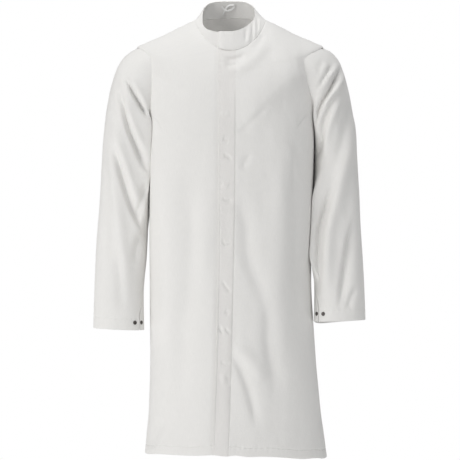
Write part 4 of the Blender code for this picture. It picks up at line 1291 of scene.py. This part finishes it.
def sleeve_cloth(sleeve):
    """A sleeve's cloth with its folds, seams and cuff stitching, and those lines."""
    half = SLEEVE_WIDTH / 2
    front_half = spaced(half, SLEEVE_FRONT_STEP) * 0.5
    back_half = 0.5 + spaced(half, SLEEVE_BACK_STEP) * 0.5
    # even columns where the halves meet at the outer side, in place of their close ones
    close = len(EDGE_PLACES)
    middle_gap = np.linspace(front_half[-close], back_half[close - 1], close + 1)
    share = np.concatenate([front_half[:-close], middle_gap, back_half[close:]])
    shares = spaced(SLEEVE_LENGTH, SLEEVE_ROW_STEP, (SLEEVE_LENGTH - CUFF_DEPTH,))
    points, middle = sleeve_form(sleeve.side, sleeve.rings, sleeve.front_name, shares, share)
    from_seam = ease(shares * SLEEVE_LENGTH, 0, SLEEVE_CALM)[:, None]
    lines = [
        Line("first_row", 0, 0.25, 1.5, 0.12, False),
        Line("last_row", CUFF_DEPTH, 0.5, 1.3, 0.3, True),
        Line("last_row", 0, 0.3, 1.2, 0, False),
    ]

    def lift(places, normals):
        front = fold_height(places, normals, sleeve.front_folds, -1)
        back = fold_height(places, normals, sleeve.back_folds, 1)
        return (front + back + ripples(places)) * from_seam

    return lay_cloth(points, middle, lift, lines), lines


def make_sleeve(sleeve):
    """A sleeve's panel from its cloth."""
    cloth, lines = sleeve_cloth(sleeve)
    make_panel(f"sleeve_{sleeve.name}", cloth, sizes().cloth, lines)


def collar_seam_share(turn):
    """How clearly the neck's seam shows: barely at the wearer's right front, fully elsewhere."""
    across = np.cos(turn)
    return 1 - 0.85 * ease(-np.sin(turn), 0.05, 0.35) * ease(-across, 0.05, 0.25)


def make_collar():
    """One band whose left end laps over its right end at the front, with a row of stitches all round.

    It goes once round in even shares of the turn, and its right end sinks in by an S under the left.
    """
    edge = float(FRONT_ROWS[-1].edge)
    lifts = spaced(COLLAR_HEIGHT, COLLAR_ROW_STEP, COLLAR_CLOSE_ROWS)
    first = collar_turn(edge, lifts)
    last = 2 * math.pi + collar_turn(edge + UNDERLAP_REACH, lifts)
    turn = first + (last - first) * spaced(COLLAR_WIDTH, COLLAR_STEP)
    points = collar_point(turn, np.broadcast_to(lifts[:, None], turn.shape))
    drop = COLLAR_LAP_DROP * ease(turn, last - COLLAR_LAP_START, last - COLLAR_LAP_END)
    shown = collar_seam_share(turn)
    lines = [
        Line("first_row", 0, 0.9 * shown, 1.4, 0.1, False),
        Line("first_row", 4, 0.45 * shown, 1.0, 0.1, True),
        Line("last_row", 3.5, 0.3, 1.0, 0.15, True),
        Line("last_row", 0, 0.5, 1.1, 0, False),
        Line("first_column", EDGE_STITCH, 0.35, 1.0, 0, True),
        Line("first_column", 0, 0.3, 1.2, 0, False),
    ]

    def lift(places, normals):
        return fold_height(places, normals, COLLAR_FOLDS, -1) + ripples(places, 0.6) - drop

    cloth = lay_cloth(points, body_middle(points), lift, lines)
    make_panel("collar", cloth, sizes().collar, lines)


def make_hanger_loop():
    """A tape that rises from the neck seam inside the collar, turns and comes back across itself.

    Its middle line is read between the route's points, moved in off the collar, and the tape is laid
    across it, cupped as a parabola.
    """
    places = np.arange(len(LOOP_ROUTE))
    at = np.linspace(0, len(LOOP_ROUTE) - 1, LOOP_SAMPLES)
    x, up, off = (smooth(places, column(LOOP_ROUTE, name), at) for name in LoopPoint._fields)
    inward = unit(np.array([0, -1, LOOP_LEAN]))
    tape = sizes().tape / MM
    line = collar_point(turn_at(x, NECK_RISE, 1), up / COLLAR_HEIGHT)
    line = line + inward * (off + sizes().collar / MM / 2 + tape / 2)[:, None]
    across = unit(np.cross(unit(np.gradient(line, axis=0)), inward))
    half = np.linspace(-0.5, 0.5, LOOP_COLUMNS) * sizes().tape_width / MM
    cupped = LOOP_CUP * (1 - (half / half[-1]) ** 2)
    points = line[:, None] + across[:, None] * half[:, None] + inward * cupped[:, None]
    normals, turned = grid_normals(points, points - inward)
    cloth = Cloth(points, normals, turned, way_along(points, 1), way_along(points, 0))
    piece = wall("coat_hanger_loop", cloth, tape, finish_of("coat_tape"))
    dress(piece, "hanger_loop")


# Profiles of the snaps as radius and height, from the top pole down to the foot's pole.
CAP_PROFILE = (
    (0, 1.15), (1.2, 1.15), (2.1, 1.3), (3.0, 1.7), (3.7, 1.8), (4.3, 1.55), (4.7, 1.0), (4.8, 0.4),
    (4.7, -0.2), (2.4, -0.3), (0, -0.3),
)
STUD_PROFILE = (
    (0, 1.8), (1.3, 1.8), (1.9, 1.55), (2.05, 1.2), (1.75, 0.85), (1.9, 0.65), (3.2, 0.6), (4.3, 0.5),
    (4.75, 0.25), (4.8, 0), (4.7, -0.2), (2.4, -0.3), (0, -0.3),
)


def sleeve_spot(cloth, above_hem, from_edge, from_front):
    """A place on a sleeve's cloth and its outward normal, up from the cuff and in from the slit."""
    points = cloth.points if from_front else cloth.points[:, ::-1]
    normals = cloth.normals if from_front else cloth.normals[:, ::-1]
    heights = points[:, 0, 2] - points[-1, 0, 2]
    row = np.interp(-above_hem, -heights, np.arange(len(heights)))
    upper = int(row)
    part = row - upper
    strip = points[upper] * (1 - part) + points[upper + 1] * part
    outward = normals[upper] * (1 - part) + normals[upper + 1] * part
    way = way_along(strip, 0)
    place = np.array([np.interp(from_edge, way, strip[:, axis]) for axis in range(3)])
    facing = np.array([np.interp(from_edge, way, outward[:, axis]) for axis in range(3)])
    return place, unit(facing)


def make_snaps():
    """The cap sits on each slit's front flap and the stud on its back flap."""
    halves = (("cap", SNAP_FROM_EDGE, True, CAP_PROFILE), ("stud", STUD_FROM_EDGE, False, STUD_PROFILE))
    for sleeve in SLEEVES:
        cloth, _ = sleeve_cloth(sleeve)
        for kind, from_edge, from_front, profile in halves:
            place, outward = sleeve_spot(cloth, SNAP_ABOVE_HEM, from_edge, from_front)
            seat = place + outward * sizes().cloth / MM / 2
            node = f"snap_{kind}_{sleeve.name}"
            metal = finish_of("coat_snap_metal")
            piece = turned_solid(f"coat_{node}", profile, seat, outward, SNAP_SIDES, metal)
            dress(piece, node)


# ---------------------------------------------------------------------------
# Stage
# ---------------------------------------------------------------------------

# In metres: the floor, and a camera that looks level at the coat from its front, so far away that its
# view is this high and wide there, moved a little sideways.
FLOOR_Z, FLOOR_RADIUS, FLOOR_CORNERS = -1.46, 2.7, 96
CAMERA_HEIGHT, CAMERA_DISTANCE = -0.509, 4.0
VIEW_HEIGHT = 1.104
VIEW_SHIFT = -0.0012 / VIEW_HEIGHT
SENSOR = 24.0

# Soft lights: place and aim in metres, width and height of the panel, watts and colour.
Softbox = namedtuple("Softbox", "name place aim width height power colour")
AIM = (0.0, 0.0, -0.45)
SOFTBOXES = (
    Softbox("key_light", (-2.4, -1.8, 0.4), AIM, 1.2, 1.2, 25, (1.0, 0.99, 0.975)),
    Softbox("low_light", (-1.8, -2.6, -1.2), AIM, 1.6, 1.6, 17, (1.0, 0.995, 0.985)),
    Softbox("fill_light", (2.4, -2.6, -0.2), AIM, 2.0, 2.0, 2.2, (0.98, 0.99, 1.0)),
    Softbox("top_light", (0.2, -0.4, 2.1), AIM, 1.4, 1.4, 35, (1.0, 1.0, 1.0)),
    # hidden inside the chest, it brightens the inside of the neck
    Softbox("neck_light", (0.0, -0.03, -0.3), (0.0, 0.08, 0.02), 0.16, 0.1, 0.15, (1.0, 1.0, 1.0)),
)


def make_floor():
    """A round pale floor under the coat, as a disc of one face."""
    angle = np.linspace(0, 2 * math.pi, FLOOR_CORNERS, endpoint=False)
    rim = np.stack([np.cos(angle), np.sin(angle), np.zeros(FLOOR_CORNERS)], axis=-1) * FLOOR_RADIUS
    rim[:, 2] = FLOOR_Z
    mesh = bpy.data.meshes.new("studio_floor")
    mesh.from_pydata(rim.tolist(), [], [list(range(FLOOR_CORNERS))])
    mesh.materials.append(finish_of("studio_floor"))
    floor = bpy.data.objects.new("studio_floor", mesh)
    bpy.context.scene.collection.objects.link(floor)


def make_lights():
    """Each softbox as an area lamp turned to its aim, unseen itself."""
    for box in SOFTBOXES:
        light = bpy.data.lights.new(box.name, "AREA")
        light.shape = "RECTANGLE"
        light.size = box.width
        light.size_y = box.height
        light.energy = box.power
        light.color = box.colour
        lamp = bpy.data.objects.new(box.name, light)
        lamp.location = box.place
        lamp.rotation_euler = (Vector(box.aim) - Vector(box.place)).to_track_quat("-Z", "Y").to_euler()
        lamp.visible_camera = False
        bpy.context.scene.collection.objects.link(lamp)


def make_world():
    """A white surround that lights the coat more softly than it shows behind it."""
    world = bpy.data.worlds.new("studio_surround")
    world.use_nodes = True
    tree = world.node_tree
    tree.nodes.clear()
    output = tree.nodes.new("ShaderNodeOutputWorld")
    seen = add_node(tree, "Background", {"Color": (1, 1, 1, 1), "Strength": 1.0})
    ambient = sizes().ambient
    soft = add_node(tree, "Background", {"Color": (0.98, 0.99, 1.0, 1), "Strength": ambient})
    straight = add_node(tree, "LightPath").outputs["Is Camera Ray"]
    both = add_node(tree, "MixShader", {0: straight, 1: soft.outputs[0], 2: seen.outputs[0]})
    tree.links.new(both.outputs[0], output.inputs["Surface"])
    bpy.context.scene.world = world


def make_camera():
    """A level camera in front, whose lens is the sensor's width times its distance over the view's."""
    camera = bpy.data.cameras.new("front_camera")
    camera.sensor_width = SENSOR
    camera.lens = SENSOR * CAMERA_DISTANCE / VIEW_HEIGHT
    camera.shift_x = VIEW_SHIFT
    eye = bpy.data.objects.new("front_camera", camera)
    eye.location = (0, -CAMERA_DISTANCE, CAMERA_HEIGHT)
    eye.rotation_euler = (math.pi / 2, 0, 0)
    bpy.context.scene.collection.objects.link(eye)
    bpy.context.scene.camera = eye
    bpy.context.scene.view_settings.view_transform = "Standard"


# ---------------------------------------------------------------------------
# Add-on
# ---------------------------------------------------------------------------


class CoatCut(bpy.types.PropertyGroup):
    """Sizes of the cloth and how it hangs."""

    cloth: bpy.props.FloatProperty(
        name="Cloth", description="Thickness of a single layer", default=0.0012, unit="LENGTH"
    )
    placket: bpy.props.FloatProperty(
        name="Covered front", description="Thickness of the folded band", default=0.0020, unit="LENGTH"
    )
    collar: bpy.props.FloatProperty(
        name="Collar", description="Thickness of the doubled collar", default=0.0021, unit="LENGTH"
    )
    tape: bpy.props.FloatProperty(
        name="Tape", description="Thickness of the hanger loop", default=0.0009, unit="LENGTH"
    )
    tape_width: bpy.props.FloatProperty(
        name="Tape width", description="Width of the hanger loop", default=0.004, unit="LENGTH"
    )
    weave_pitch: bpy.props.FloatProperty(
        name="Twill pitch", description="Distance between the twill's ribs", default=0.0008, unit="LENGTH"
    )
    crumple: bpy.props.FloatProperty(
        name="Crumple", description="Depth of the fine unevenness", default=0.0012, unit="LENGTH"
    )
    fold_strength: bpy.props.FloatProperty(
        name="Folds", description="Share of their full height that the folds have", default=1.0,
        min=0.0, subtype="FACTOR",
    )
    ripple: bpy.props.FloatProperty(
        name="Ripple", description="Height of the cloth's slow waves", default=0.0009, unit="LENGTH"
    )
    ambient: bpy.props.FloatProperty(
        name="Ambient", description="Strength of the light from all round", default=0.28
    )


class CoatFinish(bpy.types.PropertyGroup):
    """Colours of the coat and its floor."""

    cloth: bpy.props.FloatVectorProperty(
        name="Cloth", description="Off-white twill", subtype="COLOR", default=(0.82, 0.81, 0.79)
    )
    # The band is the same twill as the cloth: its colour is a little warmer, and a little darker as painted
    # shade on the band.
    band: bpy.props.FloatVectorProperty(
        name="Covered front", description="The band's slightly warmer twill", subtype="COLOR",
        default=(0.80, 0.785, 0.765),
    )
    tape: bpy.props.FloatVectorProperty(
        name="Tape", description="White woven tape", subtype="COLOR", default=(0.86, 0.86, 0.85)
    )
    thread: bpy.props.FloatVectorProperty(
        name="Thread", description="White sewing thread", subtype="COLOR", default=(0.80, 0.79, 0.77)
    )
    snap: bpy.props.FloatVectorProperty(
        name="Snaps", description="Dark burnished metal", subtype="COLOR", default=(0.11, 0.10, 0.095)
    )
    floor: bpy.props.FloatVectorProperty(
        name="Floor", description="Pale studio floor", subtype="COLOR", default=(0.82, 0.82, 0.82)
    )


class COAT_OT_fronts(bpy.types.Operator):
    """Lay the left front over the body's form and the right front under the covered front"""

    bl_idname = "coat.fronts"
    bl_label = "Fronts"

    def execute(self, context):
        make_front_left()
        make_front_right()
        return {"FINISHED"}


class COAT_OT_placket(bpy.types.Operator):
    """Lay the covered front's band along the left front's edge"""

    bl_idname = "coat.placket"
    bl_label = "Covered front"

    def execute(self, context):
        make_placket()
        return {"FINISHED"}


class COAT_OT_back(bpy.types.Operator):
    """Lay the back over the body's form"""

    bl_idname = "coat.back"
    bl_label = "Back"

    def execute(self, context):
        make_back()
        return {"FINISHED"}


class COAT_OT_sleeves(bpy.types.Operator):
    """Set both sleeves into their armholes"""

    bl_idname = "coat.sleeves"
    bl_label = "Sleeves"

    def execute(self, context):
        for sleeve in SLEEVES:
            make_sleeve(sleeve)
        return {"FINISHED"}


class COAT_OT_collar(bpy.types.Operator):
    """Stand the collar on the neck seam"""

    bl_idname = "coat.collar"
    bl_label = "Collar"

    def execute(self, context):
        make_collar()
        return {"FINISHED"}


class COAT_OT_hanger_loop(bpy.types.Operator):
    """Sew the hanger loop inside the collar"""

    bl_idname = "coat.hanger_loop"
    bl_label = "Hanger loop"

    def execute(self, context):
        make_hanger_loop()
        return {"FINISHED"}


class COAT_OT_snaps(bpy.types.Operator):
    """Fasten the snaps to the cuffs"""

    bl_idname = "coat.snaps"
    bl_label = "Snaps"

    def execute(self, context):
        make_snaps()
        return {"FINISHED"}


class COAT_OT_stage(bpy.types.Operator):
    """Set the floor, the soft lights, the white surround and the camera"""

    bl_idname = "coat.stage"
    bl_label = "Stage"

    def execute(self, context):
        make_floor()
        make_lights()
        make_world()
        make_camera()
        return {"FINISHED"}


STEPS = (
    COAT_OT_stage,
    COAT_OT_fronts,
    COAT_OT_placket,
    COAT_OT_back,
    COAT_OT_sleeves,
    COAT_OT_collar,
    COAT_OT_hanger_loop,
    COAT_OT_snaps,
)


class COAT_PT_sidebar(bpy.types.Panel):
    """The coat's sizes, colours and steps"""

    bl_idname = "COAT_PT_sidebar"
    bl_label = "Work Coat"
    bl_space_type = "VIEW_3D"
    bl_region_type = "UI"
    bl_category = "Work Coat"

    def draw(self, context):
        for group in (context.scene.coat_cut, context.scene.coat_finish):
            for name in group.__annotations__:
                self.layout.prop(group, name)
        for step in STEPS:
            self.layout.operator(step.bl_idname)


CLASSES = (CoatCut, CoatFinish, *STEPS, COAT_PT_sidebar)


def register():
    """Registers the classes and hangs both groups on the scene."""
    for kind in CLASSES:
        bpy.utils.register_class(kind)
    bpy.types.Scene.coat_cut = bpy.props.PointerProperty(type=CoatCut)
    bpy.types.Scene.coat_finish = bpy.props.PointerProperty(type=CoatFinish)


def unregister():
    """Takes away what register added, in the opposite order."""
    del bpy.types.Scene.coat_finish
    del bpy.types.Scene.coat_cut
    for kind in reversed(CLASSES):
        bpy.utils.unregister_class(kind)


def main():
    """Registers the classes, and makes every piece."""
    register()
    for step in STEPS:
        group, name = step.bl_idname.split(".")
        getattr(getattr(bpy.ops, group), name)()


if __name__ == "__main__":
    main()
